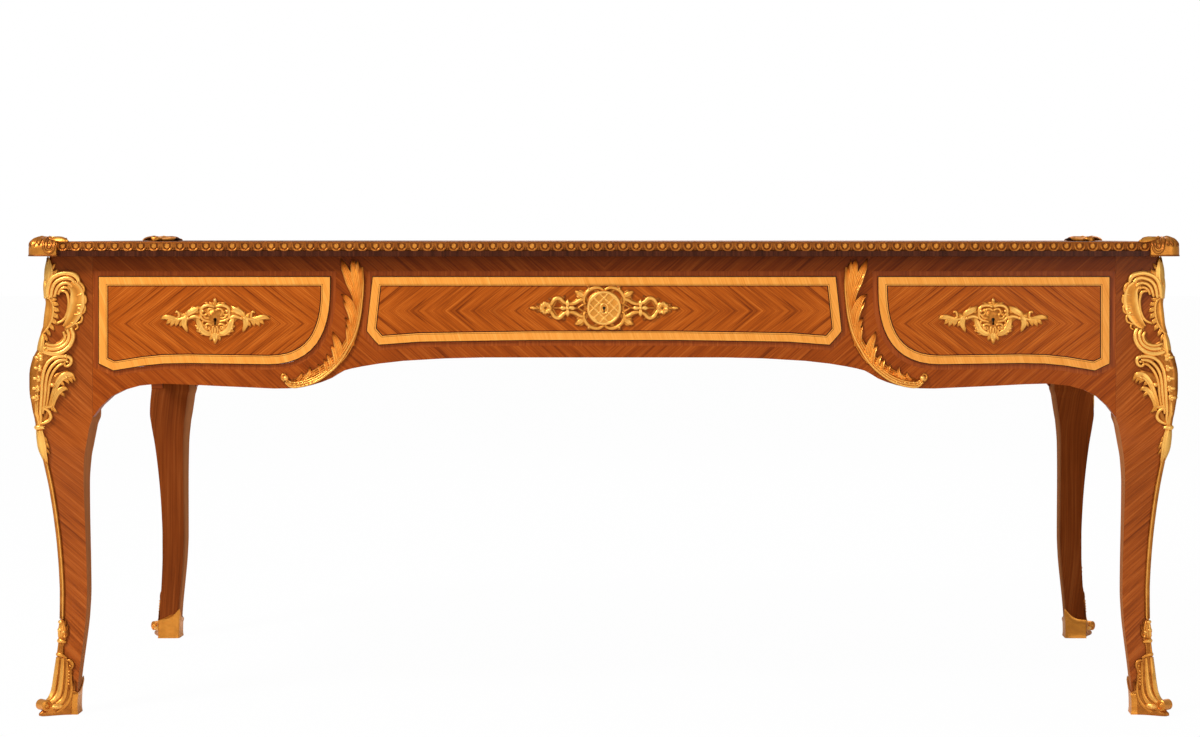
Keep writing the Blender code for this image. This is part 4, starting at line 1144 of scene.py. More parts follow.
acanthusParts = {
    "frond": [
        # body of the leaf, ribbed along its length
        [(-18, 60, 5), (-16, 88, 6.5), (-11, 115, 7.5), (-3, 138, 8.5), (9, 159, 9.5), (27, 177, 9.5),
         (50, 192, 8.5), (76, 203, 7), (97, 208, 4)],
        # lobes of the fan at the top
        [(-15, 92, 4, 0.6), (-12, 66, 6.5, 1), (-3, 42, 8, 1.2), (6, 20, 6, 1), (12.5, 4, 0.8)],
        [(-18, 84, 4, 0.8), (-15, 56, 6.5, 1.4), (-11, 30, 7, 1.6), (-8, 14, 5, 1.2), (-7, 5, 1.2)],
        [(-20, 78, 3.4, 0.6), (-19, 50, 5.2, 1), (-18.5, 28, 5, 1.2), (-18, 12, 1)],
        # lobes down the inner side
        [(-12, 124, 4, 0.8), (-9.5, 100, 6, 1.2), (-3.5, 80, 6.4, 1.4), (4, 68.5, 4.4, 1), (12, 62.5, 0.8)],
        [(-6, 148, 4, 0.8), (-5, 126, 5.6, 1.2), (-2, 111, 5.2, 1.2), (6, 101, 0.8)],
        [(14, 176, 4, 0.8), (14.5, 160, 6.4, 1.4), (18, 144, 6.4, 1.6), (22.5, 133, 4.2, 1),
         (26, 124, 0.8)],
    ],
    "leaf": [
        [(-2, 40, 3.6, 1), (4.5, 31, 3.6, 1), (10, 22.5, 0.8)],
        [(-7, 56, 3.6, 1), (-1, 47, 3.6, 1), (4.5, 38.5, 0.8)],
        [(-14, 30, 3, 1.4), (-15, 16, 3, 1.2), (-14.5, 6, 0.8)],
        [(-6, 112, 3.4, 0.8), (-3, 96, 4.6, 1), (2, 84, 4, 1), (9.5, 73, 0.8)],
        [(0, 144, 3.4, 0.8), (1, 126, 3.8, 1), (4.5, 113, 0.8)],
        [(20, 178, 3.6, 0.8), (21.5, 164, 4.8, 1.2), (25, 153, 3.8, 1), (29, 146, 0.8)],
        [(28, 184, 3.4, 0.8), (30, 173, 4.6, 1), (33, 166.5, 3, 0.8), (36.5, 161, 0.8)],
        [(36, 188, 3.4, 0.8), (37, 178.5, 4.2, 1), (41, 169, 0.8)],
        [(46, 193, 3, 0.6), (47, 185, 3.6, 0.8), (50.5, 177.5, 0.8)],
        [(74, 202, 3.4, 0.8), (64.5, 194, 4.4, 1.2), (64, 182, 0.9)],
        [(66, 199, 3, 0.6), (58, 193.5, 3.4, 0.8), (55.5, 186, 0.8)],
        [(84, 204, 3, 0.6), (78, 197, 3.2, 0.8), (77, 190.5, 0.8)],
    ],
    "reed": [
        # outer ribs with their curled end
        *[beside(acanthusRib, off, share) for off, share in ((-2.4, 0.5), (1.2, 0.46), (4.6, 0.42))],
        [(105, 205, 3), (109.5, 200, 2.6), (107.5, 194.5, 2.2), (102.5, 195.5, 1.8)],
    ],
    "beads": [(103, 200.5, 5, 1.6)]
    + [(60 + 7 * i, 206.6 + 0.9 * i - 0.16 * i * i, 1.6, 4.2) for i in range(6)],
}
# range of painted relief shading on the leaf
acanthusLook = {"seat": 1.3, "thick": 1.4, "least": 0.3, "crest": (0.0, 3.3)}

acanthusFlat = cast("acanthus_flat", acanthusParts)
for place, (sideX, sideY) in corners.items():
    leaf = ownCopy(acanthusFlat, "cast_acanthus_" + place)
    setReliefShading(leaf, *acanthusLook["crest"])
    flat = pointsOf(leaf.data)
    rise = flat[:, 2] * acanthusLook["thick"] + acanthusLook["seat"] * mm
    out = halfDepth + np.maximum(rise, acanthusLook["least"] * mm)
    points = np.stack([sideX * (divisionX + flat[:, 0]), sideY * out, carcassTop - flat[:, 1]], 1)
    leaf = finishCast(leaf, points)
    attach(leaf, "frame")
    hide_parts("acanthus_" + place)
removeAll([acanthusFlat])
print("acanthus leaves done")


# keyhole mounts: across and up from the keyhole, in millimetres

def keyholeLoop(eye, slotWide, slotDown):
    ring = [(eye * math.sin(a), eye * math.cos(a)) for a in (0, 0.9, 1.8, 2.5)]
    half = ring + [(slotWide, -slotDown * 0.55), (slotWide * 1.15, -slotDown)]
    return half + [(-x, z) for x, z in reversed(half[1:])]


sideKeyHalf = {
    "reed": [
        # shoulder scroll, cheeks of the shield, the volute under it and the ribs of its foot
        [(1, 20.5, 2.4), (7, 23, 2.8), (14, 23, 3), (20.5, 20, 3), (23.5, 13.5, 2.8), (21, 8, 2.4),
         (16, 7.5, 2), (13.5, 11, 1.6), (16, 14, 1.3)],
        [(0.5, 14.5, 2), (6, 17.5, 2.2), (11, 16, 2.2), (11.5, 10.5, 2), (8.5, 6, 1.8)],
        [(23, 12, 2.2), (23.5, 5, 2.6), (19, -0.5, 2.6), (12, -2.5, 2.2), (7, -4, 1.8)],
        [(19, 6, 2), (15, 2.5, 2.2), (9, 2.5, 1.8)],
        [(19, -2, 1.8), (21, -7, 2), (17.5, -11, 2.2)],
        [(5, -9.5, 1.8), (9, -7.5, 2.2), (14, -8.5, 2.4), (16, -12.5, 2.4), (12.5, -16, 2.2),
         (8.8, -13.5, 1.8), (11.5, -11.5, 1.4)],
        [(2.5, -11, 2), (4.5, -17, 2.4), (3, -24, 1.8)],
        [(8, -16.5, 2), (8, -21, 2.4), (4.5, -26, 1.8)],
        # stem out to the leaves and its curl
        [(24, 2, 2.6), (31, 5, 3), (38, 4, 2.8), (44, 1, 2.4)],
        [(66, -0.5, 2.2), (60.5, 2.5, 2.4), (59.5, 8, 2.4), (62.5, 13, 2.2), (65.5, 11, 1.6)],
        [(44, 2, 2.6), (53, 1.5, 2.8), (62, -0.5, 2.6), (71, 0.5, 2.2)],
    ],
    "leaf": [
        [(1.5, 22, 2.2), (6, 25.5, 2.6), (10.5, 28, 0.8)],
        [(9, 23, 2), (13.5, 26.5, 2.2), (17.5, 27.5, 0.8)],
        # wing with its scalloped edge
        [(7, -24.5, 3.6), (16, -21.5, 5.2), (23.5, -14, 5.6), (26.5, -5, 5), (30, 3, 2.4)],
        [(18, -21, 3), (22, -23.5, 2.8), (25, -24, 0.8)],
        [(23, -16, 3), (28, -18.5, 2.8), (31.5, -18.5, 0.8)],
        [(26, -10, 3), (30.5, -11, 2.8), (33, -9.5, 0.8)],
        # upper leaf
        [(47, 4, 2.8), (43.5, 10, 5), (37, 14, 5.6), (31, 17.5, 4.6), (26.5, 22, 1)],
        [(38, 14, 3), (38.5, 18, 2.4), (36.5, 21.5, 0.8)],
        [(33, 13.5, 3), (28.5, 13, 2.6), (25.5, 14.5, 0.8)],
        # middle cluster
        [(46, 6, 3.4), (50, 0, 5.4), (50.5, -8, 4.8), (47.5, -15.5, 3.2), (46, -20.5, 0.9)],
        [(50, 2, 3.2), (53.5, 6, 3.2), (56, 11, 0.8)],
        [(48, 3, 3.2), (47.5, 9, 2.8), (49, 13, 0.8)],
        [(51, -3, 3.8), (56, -7.5, 3.4), (58.5, -12, 0.8)],
        # outer leaves
        [(60, 0, 3.4), (63.5, -6, 3.8), (65, -11.5, 0.8)],
        [(66, 0, 3.6), (70.5, -6, 3.8), (73, -11.5, 0.8)],
        [(72, 1, 3.4), (76.5, -3.5, 3.4), (80.5, -8, 0.8)],
        [(60, 0, 3.2), (70, 2, 4.2), (80, 4, 4.4), (86, 2.5, 2.8), (90, 0.5, 0.8)],
        [(3, -27, 3), (7, -30.5, 3), (8, -35, 0.8)],
    ],
    "beads": [(13.5, -13, 2, 1.8), (20, 14, 2.8, 1.4), (28.5, -14.5, 2, 2), (24.5, -20, 2, 2),
              (44, 2, 2.4, 2.4)],
}
shieldHalf = [(0, 18.5), (9, 17.5), (16, 13), (18, 5), (16.5, -1), (11, -5), (9, -9.5), (12, -13),
              (9.5, -18), (5, -22), (0, -25)]
sideKeyMiddle = {
    "leaf": [
        [(0, 20, 2.8), (0, 26, 2.4), (0, 31, 3.2), (0, 36, 0.9)],
        [(0, -22, 4.6), (0, -29, 5.4), (0, -36, 3.2), (0, -40.5, 0.8)],
    ],
    "reed": [[(-8, -24.5, 2), (0, -26, 2.8), (8, -24.5, 2)], [(0, -13, 2), (0, -18, 2.6), (0, -25, 2)]],
    "beads": [(0, 32, 2.8, 1.4), (0, -34, 2.2, 2)],
    "plates": [(shieldHalf + [(-x, z) for x, z in shieldHalf[-2:0:-1]],
                [keyholeLoop(3.2, 1.4, 9)], 0.5, 0.2)],
}
centreKeyQuarter = {
    "reed": [
        # band round the disc, the strap and the link to the rosette
        [(0.5, 29, 2.6), (8, 33, 3.2), (16, 33, 3.4), (25, 29, 3.4), (31, 21.5, 3.4), (33.5, 12.5, 3),
         (30.5, 5.5, 2.4)],
        [(31, 14, 2.8), (38, 13.5, 3.6), (47, 8.5, 3.6), (57, 6.5, 3.4), (66, 9.5, 3.6), (74, 16, 4),
         (81, 14.5, 3.8), (86.5, 7, 3.4), (90, 1.5, 2.4)],
        [(28, 8, 2), (34, 5.5, 2.2), (39, 2.5, 2), (43, 0, 1.8)],
    ],
    "leaf": [
        [(20, 31, 2.4), (25, 34.5, 2.6), (29.5, 35, 0.8)],
        # leaf between the band and the strap
        [(31, 18, 2.4, 0.4), (36, 20.5, 4, 0.8), (41, 23.5, 4.4, 0.8), (46, 26, 2.8, 0.6),
         (49, 26, 1, 0.4)],
        [(37, 19, 2.4, 0.4), (42, 18, 2.8, 0.6), (46.5, 19, 0.9, 0.4)],
        [(33, 23, 2.2, 0.4), (37.5, 27, 2.6, 0.6), (42, 29.5, 0.9, 0.4)],
        [(69, 11.5, 2.2), (67.5, 17, 2.4), (63.5, 20, 0.8)],
        [(83, 11.5, 2), (88, 15, 2.2), (92, 14.5, 0.8)],
    ],
    "beads": [(25, 32, 2, 1.6)],
}
rosette = {"middle": 60.0, "leaf": 12.5, "flower": 96.0, "petals": 7, "petal": 11.0, "eye": 3.4}


def roundPetals(middle, count, reach, wide):
    stops = ((3, wide * 0.5, 0.8), (0.66 * reach, wide, 1), (reach, wide * 0.4, 0.6))
    return rays(middle, 0, count, math.pi / count, stops)


def around(across, up, wide, tall, count, *rest):
    # points round an oval, each with its half width and lift
    turns = np.arange(count) * 2 * math.pi / count
    return [(across + wide * math.cos(a), up + tall * math.sin(a), *rest) for a in turns]


def centreKeyParts():
    right = {
        "leaf": starLeaves(rosette["middle"], 0, 4, 2, rosette["leaf"] * 1.15, 3.2, 0, 2.4)
        + starLeaves(rosette["middle"], 0, 4, 2, rosette["leaf"] * 0.7, 2.6, math.pi / 4)
        + [[(104, 0, 2.2), (108, side * 4.5, 2.4), (111, side * 7, 0.8)] for side in (1, -1)],
        "hollowLeaf": roundPetals(rosette["flower"], rosette["petals"], rosette["petal"], 4.2),
        "reed": [[(43, 0, 2), (52, 0, 2)], [(70, 0, 2), (78, 0, 2), (86, 0, 1.6)],
                 [(105, 0, 2.6), (111, 0, 2.2), (116, 0, 3.4), (120, 0, 2.8), (124, 0, 0.8)],
                 ["ring"] + around(rosette["flower"], 0, rosette["eye"], rosette["eye"], 8, 1.5, 1)],
        "beads": [(rosette["middle"], 0, 3.2, 3.4)],
    }
    quarter = centreKeyQuarter
    return merged(quarter, flipped(quarter), flipped(quarter, 1, -1), flipped(quarter, -1, -1),
                  right, flipped(right))


discLook = {
    "radius": 28.0, "ring": 25.8, "plateTop": 2.1, "points": 12, "keyRing": (0, -1, 6.2, 8),
    "trellis": 8.4, "spacing": 1.4, "gap": 0.34, "rib": 1.5, "ribClear": 1.5,
    "stud": 2.0, "studsFrom": 9.0, "studClear": 2.0,
}


def trellisDisc():
    # ribs at 45 degrees inside the ring, clipped to the disc, clear of the keyhole
    look, ribs, studs = discLook, [], []
    reach = look["ring"] - look["ribClear"]
    half = math.sqrt(0.5)
    for slope in (1, -1):
        for i in range(-2, 3):
            offset = i * look["trellis"] * look["spacing"]
            along = math.sqrt(max(reach * reach - offset * offset, 0))
            ends = [(offset * half + t * along * half, slope * (t * along - offset) * half,
                     look["rib"], look["plateTop"]) for t in (-1, -look["gap"], look["gap"], 1)]
            ribs += [ends[:2], ends[2:]] if i == 0 else [[ends[0], ends[3]]]
    circle = around(0, 0, look["radius"], look["radius"], look["points"])
    ring = ["ring"] + around(0, 0, look["ring"], look["ring"], look["points"], 2.8, 1.2)
    keyRing = ["ring"] + around(*look["keyRing"], look["points"], 1.6, look["plateTop"])
    for i in range(-2, 3):
        for j in range(-2, 3):
            across, up = (i + j) * look["trellis"], (i - j) * look["trellis"]
            if look["studsFrom"] < math.hypot(across, up) < reach - look["studClear"]:
                studs.append((across, up, look["stud"], look["plateTop"]))
    return {"plates": [(circle, [keyholeLoop(3.0, 1.3, 8.5)])], "reed": [ring, keyRing], "plain": ribs,
            "beads": studs}


def flattened(points, face, share):
    # brings a packed ornament closer to the board under it
    thin = points.copy()
    thin[:, 1] = face + (points[:, 1] - face) * share
    return thin


sideKey = merged(sideKeyMiddle, sideKeyHalf, flipped(sideKeyHalf))
keyMounts = {"left": sideKey, "centre": merged(trellisDisc(), centreKeyParts()), "right": sideKey}
# how far the keyhole lies above the foot of the mount, and the range of painted relief shading, for the sides
# and the centre
keyLook = {
    "seat": 0.6, "thick": 1.35, "least": 0.3, "turnSteps": 4, "ground": 0.36, "groundShare": 0.4,
    "side": (39.0, (-0.7, 2.7)), "centre": (35.0, (0.0, 3.7)),
}
for place, parts in keyMounts.items():
    low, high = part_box("escutcheon_" + place)
    keyRise, crest = keyLook["centre" if place == "centre" else "side"]
    middleX, middleZ = (low.x + high.x) / 2, low.z + keyRise * mm
    mount = cast("cast_keyhole_mount_" + place, parts, keyLook["turnSteps"])
    setReliefShading(mount, *crest)
    flat = pointsOf(mount.data)
    rise = np.maximum(flat[:, 2] * keyLook["thick"] + keyLook["seat"] * mm, keyLook["least"] * mm)
    ground = groundCopy("escutcheon_" + place, keyLook["ground"])
    setPoints(ground.data, flattened(pointsOf(ground.data), drawerFace, keyLook["groundShare"]))
    points = np.stack([middleX + flat[:, 0], drawerFace - rise, middleZ + flat[:, 1]], 1)
    mount = finishCast(mount, points, ground)
    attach(mount, "drawer_" + place)
    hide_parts("escutcheon_" + place)
print("keyhole mounts done")


# foot mounts: across from the arris, then up from the floor, in millimetres

footLook = {
    "seat": 2.6, "thick": 1.1, "wall": 2.0, "columns": 60, "rows": 90, "smooth": 50,
    # half width of the leaf shell up the leg, and how far it runs out to the toe
    "wide": ((0, 27.5), (42, 27.5), (52, 25.5), (66, 25), (78, 25.5), (84, 23), (89, 18), (92, 14),
             (96, 9.5), (100, 7.5), (110, 7), (118, 8.5), (128, 11), (138, 10.5), (147, 7), (153, 4),
             (157, 0.6)),
    "toe": ((0, 18.5), (2, 21), (4.4, 21), (6.6, 18.6), (9, 17), (14, 16.5), (20, 15), (25, 10.5),
            (30, 6.5), (41, 3.2), (64, 1.6), (94, 0.8), (157, 0)),
    # levels of painted relief shading: the shell, the ornament's range, the block and the roll
    "toeSpread": 13.0, "crest": 0.34, "ornamentShading": (-0.6, 5.0),
    "blockHigh": 36.0, "blockSwell": 1.8, "blockRows": 16, "blockShading": 0.52,
    # swell and run of the block's edges, at the floor and a little below its top
    "floorEdge": (0.9, 4.0), "topEdge": (1.2, 3.0), "topEdgeDown": 4.0,
    "leafHigh": 22.0, "leafWide": 0.045, "leafPower": 1.4,
    "rollRadius": 9.0, "rollLength": 20.0, "rollHeight": 18.0, "rollOut": 15.0, "rollShading": 0.5,
    # insets of the roll's ends, and how far each one rises
    "rollSides": 32, "rollSteps": ((1.4, 1.0), (1.6, 0.3), (0.9, -1.4), (1.6, 0.4), (0.8, 1.6), (1.2, 0.5)),
}
footMiddle = {
    "frond": [
        [(0, 158, 1, 0.6), (0, 150, 6, 1), (0, 140, 9, 1.2), (0, 130, 9, 1), (0, 122, 6)],
        [(0, 118, 6.5), (0, 108, 6.5), (0, 98, 7.5)],
    ],
    "reed": [
        [(-11, 118, 2.4), (-5, 119.5, 3.4, 0.6), (0, 120, 4, 1), (5, 119.5, 3.4, 0.6), (11, 118, 2.4)],
        [(-15, 92, 2.2), (-8, 96, 3), (0, 98, 3.6, 0.6), (8, 96, 3), (15, 92, 2.2)],
        [(0, 93, 4), (0, 70, 4.8), (0, 46, 5.2), (0, 32, 5.2), (0, 24, 4.4)],
    ],
    "beads": [(0, 151, 3.4, 2.6), (0, 138, 3, 3.2)],
}
footSide = {
    "leaf": [
        [(4, 123, 3.2), (9.5, 130, 4), (13, 138, 0.8)],
        [(5, 133, 3.2), (9.5, 140, 3.6), (12, 147.5, 0.8)],
        [(3, 143, 2.8), (6, 149, 3), (7.5, 155.5, 0.8)],
        [(17, 88, 2.6), (20.5, 74, 4), (21.5, 60, 4.4), (22, 48, 4), (23, 40, 2.4)],
        [(31, 56, 0.8), (31, 49, 2), (30.5, 42, 2.6), (30, 35, 2.4)],
    ],
    "reed": [
        [(8.8, 92, 3.4), (9.8, 70, 4.2), (10, 46, 4.6), (8.8, 31, 4.8), (6, 21, 4)],
        [(16, 86, 2.4), (17.8, 66, 2.8), (18.6, 46, 3.2), (17, 29, 3.6), (12, 15, 3.6), (7, 9, 2.6)],
        [(15.5, 88.5, 2), (19.5, 88.5, 2.6), (24, 85, 2.6), (25.5, 79, 2.4), (22.5, 75, 2),
         (19.8, 78, 1.4)],
        [(24, 66, 2), (25.4, 54, 2.4), (27, 43, 2.8), (26, 30, 3), (21, 17, 3), (13, 5.5, 2.6)],
        [(27, 41, 2.2), (30, 37.5, 2.2), (33, 37, 2), (36, 36, 1.6)],
    ],
    "beads": [(6, 135, 2.8, 2), (8, 127.5, 2.4, 1.4), (21.8, 79.5, 2, 1.2), (12.5, 15, 6, 0),
              (12.5, 15, 3, 5)]
    + [(21 + 0.3 * i, 71 - 5.2 * i, 1.7, 2.2) for i in range(5)],
}
footWide = smoothLine(*zip(*footLook["wide"]))
toeOut = smoothLine(*zip(*footLook["toe"]))


def onFoot(corner, s, z, rise):
    points = onLeg(corner, s, z, rise + footLook["seat"] * mm, legLook["footRound"] * mm)
    spread = np.exp(-(s / (footLook["toeSpread"] * mm)) ** 2)
    run = toeOut(z / mm) * mm * spread
    return points + np.stack([corner[0] * run, corner[1] * run, run * 0], 1)


def footShell(corner):
    high = footLook["wide"][-1][0]

    def place(u, v):
        z = v * high
        s = (2 * u - 1) * footWide(z)
        return onFoot(corner, s * mm, z * mm, s * 0), np.stack([s * mm, z * mm], 1)

    shell = wrappedGrid("foot_shell", footLook["columns"], footLook["rows"], place)
    thickened(shell, footLook["wall"])
    evenReliefShading(shell, footLook["crest"])
    return shell


def footBlock(corner):
    # a cap round the whole foot, with a leaf up the inner arris
    look = footLook
    innerArris = (1 + outerShare) / 2

    def edge(away, swell, run):
        return swell * np.exp(-(away / (run * mm)) ** 2)

    def place(u, v):
        leaf = np.exp(-np.abs((u - innerArris) / look["leafWide"]) ** look["leafPower"])
        top = (look["blockHigh"] + look["leafHigh"] * leaf) * mm
        z = v * top
        edges = edge(z, *look["floorEdge"]) + edge(z - top + look["topEdgeDown"] * mm, *look["topEdge"])
        x, y, across = legRing(u, np.maximum(z, legLow.z), (look["blockSwell"] + edges) * mm)
        return atCorner(corner, x, y, z), np.stack([across, z], 1)

    block = wrappedGrid("foot_block", legColumns * 2, look["blockRows"], place)
    closeEnds(block)
    evenReliefShading(block, look["blockShading"])
    return block


def toeRoll(corner):
    # the scroll of the toe lies square to the arris
    deselectAll()
    turn = math.atan2(corner[1], corner[0]) + math.pi / 2
    out = (footLook["rollOut"] * mm + arrisAt(footLook["rollHeight"] * mm)).item()
    bpy.ops.mesh.primitive_cylinder_add(
        vertices=footLook["rollSides"], radius=footLook["rollRadius"] * mm,
        depth=footLook["rollLength"] * mm, rotation=(0, math.pi / 2, turn),
        location=(corner[0] * (halfLength + out), corner[1] * (halfDepth + out), footLook["rollHeight"] * mm))
    roll = bpy.context.object
    bpy.ops.object.transform_apply(location=True, rotation=True, scale=True)
    bpy.ops.object.mode_set(mode="EDIT")
    bpy.ops.mesh.select_mode(type="FACE")
    bpy.ops.mesh.select_all(action="DESELECT")
    bpy.ops.object.mode_set(mode="OBJECT")
    for face in roll.data.polygons:
        face.select = len(face.vertices) > 4
    bpy.ops.object.mode_set(mode="EDIT")
    for inset, depth in footLook["rollSteps"]:
        bpy.ops.mesh.inset(thickness=inset * mm, depth=depth * mm, use_individual=True)
    bpy.ops.object.mode_set(mode="OBJECT")
    evenReliefShading(roll, footLook["rollShading"])
    return roll


footFlat = cast("foot_flat", merged(footMiddle, footSide, flipped(footSide)))
for place, corner in corners.items():
    ornament = ownCopy(footFlat, "foot_ornament")
    setReliefShading(ornament, *footLook["ornamentShading"])
    flat = pointsOf(ornament.data)
    setPoints(ornament.data, onFoot(corner, flat[:, 0], flat[:, 1], flat[:, 2] * footLook["thick"]))
    pieces = [toeRoll(corner), footBlock(corner), footShell(corner), ornament]
    foot = joined("cast_foot_mount_" + place, pieces)
    # nothing goes below the floor
    setPoints(foot.data, np.maximum(pointsOf(foot.data), (-np.inf, -np.inf, 0)))
    gilded(foot, footLook["smooth"])
    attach(foot, "frame")
    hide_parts("sabot_" + place)
removeAll([footFlat])
print("foot mounts done")


# corner clasps of the top: round the plan from the corner, then up and over the board, in millimetres

claspLook = {
    "round": 18.0, "reach": 49.0, "wallTop": 12.0, "overIn": 20.0, "overUp": 18.5, "overRun": 32.0,
    "flatRun": 14.0, "lip": 11.0, "fan": 38.0, "wall": 8.0, "columns": 60, "rows": 36, "step": 0.2,
    # levels of painted relief shading: the ornament's range, the shell and the core
    "thick": 1.1, "sunk": 0.6, "ornamentShading": (0.3, 5.6), "crest": 0.44, "smooth": 50,
    "coreIn": 3.0, "coreLow": 0.5, "coreShare": 0.7, "coreShading": 0.44, "coreReach": 44.0,
}
claspMiddle = {
    "reed": [[(-47, 1.5, 1.5), (-24, 1.4, 1.6), (0, 1.4, 1.6), (24, 1.4, 1.6), (47, 1.5, 1.5)]],
    "leaf": [[(0, 45, 3, 0.4), (0, 32, 4.4, 0.6), (0, 22, 3.4, 0.6), (0, 16, 0.8, 0.4)]],
}
claspHalf = {
    "reed": [
        # scroll at the inner end, one ridge inside the other
        [(24, 34, 2.2), (24, 21, 2.6), (26.5, 10.5, 2.8), (33, 6.4, 3), (39.5, 9.5, 2.8), (42, 18, 2.6),
         (42.5, 30, 2.2)],
        [(29.4, 33, 2), (29.6, 21, 2.2), (33, 14, 2.4), (36.8, 18, 2.2), (37.2, 30, 1.8)],
    ],
    "leaf": [
        # leaves over the top of the corner, their tips out
        [(3, 43, 3, 0.4), (6, 31, 4.2, 0.6), (8, 22, 3.4, 0.6), (8.8, 16.5, 0.8, 0.4)],
        [(7, 43, 3, 0.4), (12.5, 32, 4.2, 0.6), (15.5, 23, 3.4, 0.6), (17, 17.5, 0.8, 0.4)],
        [(14, 46, 3, 0.6), (19, 38, 4.2, 0.8), (21.5, 28, 3.2, 0.8), (22, 20, 0.8, 0.4)],
        [(18, 48, 3, 0.6), (26, 42, 4.6, 0.9), (33, 37, 4.2, 0.9), (38, 32, 1)],
        # tongue that lies on the rim
        [(36, 34, 4, 0.6), (45, 31.5, 5.6, 1.2), (54, 29, 5.2, 1.4), (61, 27, 3.6, 1.2),
         (65, 26, 1.4, 0.6)],
        [(38, 41, 3.6, 0.4), (47, 38, 4.4, 0.8), (55, 34.5, 3.6, 0.8), (61, 32, 0.9)],
    ],
    "beads": [(33.2, 23, 2, 0.8), (62, 27, 2.6, 1.6)],
}


def claspSurface(t, w):
    look = claspLook
    quarter = look["round"] * math.pi / 4
    turn = np.clip(math.pi / 4 + t / look["round"], 0, math.pi / 2)
    past = np.maximum(np.abs(t) - quarter, 0)
    a = look["round"] * (1 - np.cos(turn)) + np.where(t > 0, past, 0)
    b = look["round"] * (1 - np.sin(turn)) + np.where(t < 0, past, 0)
    swing = np.clip((w - look["wallTop"]) / look["overRun"], 0, 1) * math.pi / 2
    overEnd = look["wallTop"] + look["overRun"]
    inset = look["overIn"] * (1 - np.cos(swing)) + np.clip(w - overEnd, 0, look["flatRun"])
    up = np.clip(w, 0, look["wallTop"]) + look["overUp"] * np.sin(swing)
    up = up - np.maximum(w - overEnd - look["flatRun"], 0)
    share = inset / look["fan"]
    a = a + (np.maximum(a, look["fan"]) - a) * share
    b = b + (np.maximum(b, look["fan"]) - b) * share
    return np.stack([a, b, up], 1)


def onClasp(corner, tip, t, w, rise):
    step = claspLook["step"]
    along = claspSurface(t + step, w) - claspSurface(t - step, w)
    climb = claspSurface(t, w + step) - claspSurface(t, w - step)
    out = np.cross(along, climb)
    out /= np.maximum(np.linalg.norm(out, axis=1, keepdims=True), 1e-9)
    a, b, up = (claspSurface(t, w) + out * np.asarray(rise)[:, None]).T * mm
    return np.stack([corner[0] * (tip[0] - a), corner[1] * (tip[1] - b), tip[2] + up], 1)


def claspShell(corner, tip):
    look = claspLook
    halfRun = look["reach"] - look["round"] + look["round"] * math.pi / 4
    climb = look["wallTop"] + look["overRun"] + look["flatRun"] + look["lip"]

    def place(u, v):
        t, w = (2 * u - 1) * halfRun, v * climb
        return onClasp(corner, tip, t, w, t * 0 - look["wall"] / 2), np.stack([t, w], 1)

    shell = wrappedGrid("clasp_shell", look["columns"], look["rows"], place)
    thickened(shell, look["wall"])
    evenReliefShading(shell, look["crest"])
    return shell


def claspCore(place, corner, tip):
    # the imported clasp, drawn in a little, fills the casting from below
    core = groundCopy("clasp_" + place, claspLook["coreShading"])
    points = pointsOf(core.data) * np.array([*corner, 1])
    reach = np.array(tip[:2])
    span = reach - points[:, :2].min(0)
    inward = claspLook["coreIn"] * mm
    points[:, :2] = reach - inward - (reach - points[:, :2]) * (1 - inward / span)
    lower = points[:, 2] < boardTop + claspLook["coreLow"] * mm
    short = np.maximum(points[:, :2], reach - claspLook["coreReach"] * mm)
    points[:, :2] = np.where(lower[:, None], short, points[:, :2])
    over = np.maximum(points[:, 2] - boardTop, 0)
    points[:, 2] -= over * (1 - claspLook["coreShare"])
    setPoints(core.data, points * np.array([*corner, 1]))
    return core


claspFlat = cast("clasp_flat", merged(claspMiddle, claspHalf, flipped(claspHalf)))
for place, corner in corners.items():
    low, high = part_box("clasp_" + place)
    tip = max(abs(low.x), abs(high.x)), max(abs(low.y), abs(high.y)), low.z
    ornament = ownCopy(claspFlat, "clasp_ornament")
    setReliefShading(ornament, *claspLook["ornamentShading"])
    t, w, rise = pointsOf(ornament.data).T / mm
    setPoints(ornament.data, onClasp(corner, tip, t, w, rise * claspLook["thick"] - claspLook["sunk"]))
    pieces = [claspCore(place, corner, tip), claspShell(corner, tip), ornament]
    clasp = joined("cast_clasp_" + place, pieces)
    gilded(clasp, claspLook["smooth"])
    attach(clasp, "frame")
    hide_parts("clasp_" + place)
removeAll([claspFlat])
print("clasps done")


# rim mouldings with egg and dart

rimLook = {
    "pitch": 21.3, "runOn": 12.0, "deep": 14.0, "columns": 4, "smooth": 50,
    # the painted shading under and on the lip, and on the eggs over their rise
    "crest": (0.1, 0.22), "lipFrom": 12.0, "eggShading": (0.1, 0.48), "eggFrom": -0.2, "eggSpan": 2.6,
    "section": ((0, 0), (12.2, 0), (12.6, 1.0), (11.4, 2.0), (11.2, 5.0), (11.8, 8.6), (13.0, 11.4),
                (13.6, 12.2), (14.0, 12.8), (14.0, 14.2), (13.2, 14.9), (10.0, 14.9), (5.0, 14.6),
                (0, 13.6)),
    "collar": [[(-8.0, 12.6, 1.5), (-7.9, 6.5, 1.7), (-4.6, 1.9, 1.9), (0, 0.7, 2.0), (4.6, 1.9, 1.9),
                (7.9, 6.5, 1.7), (8.0, 12.6, 1.5)]],
    "dart": [[(10.65, 12.4, 1.5), (10.65, 6, 1.2), (10.65, 1.4, 0.5)]],
    "egg": (5.0, 5.2, 3.0), "eggUp": 7.4, "eggSides": 8, "eggRings": 5,
}


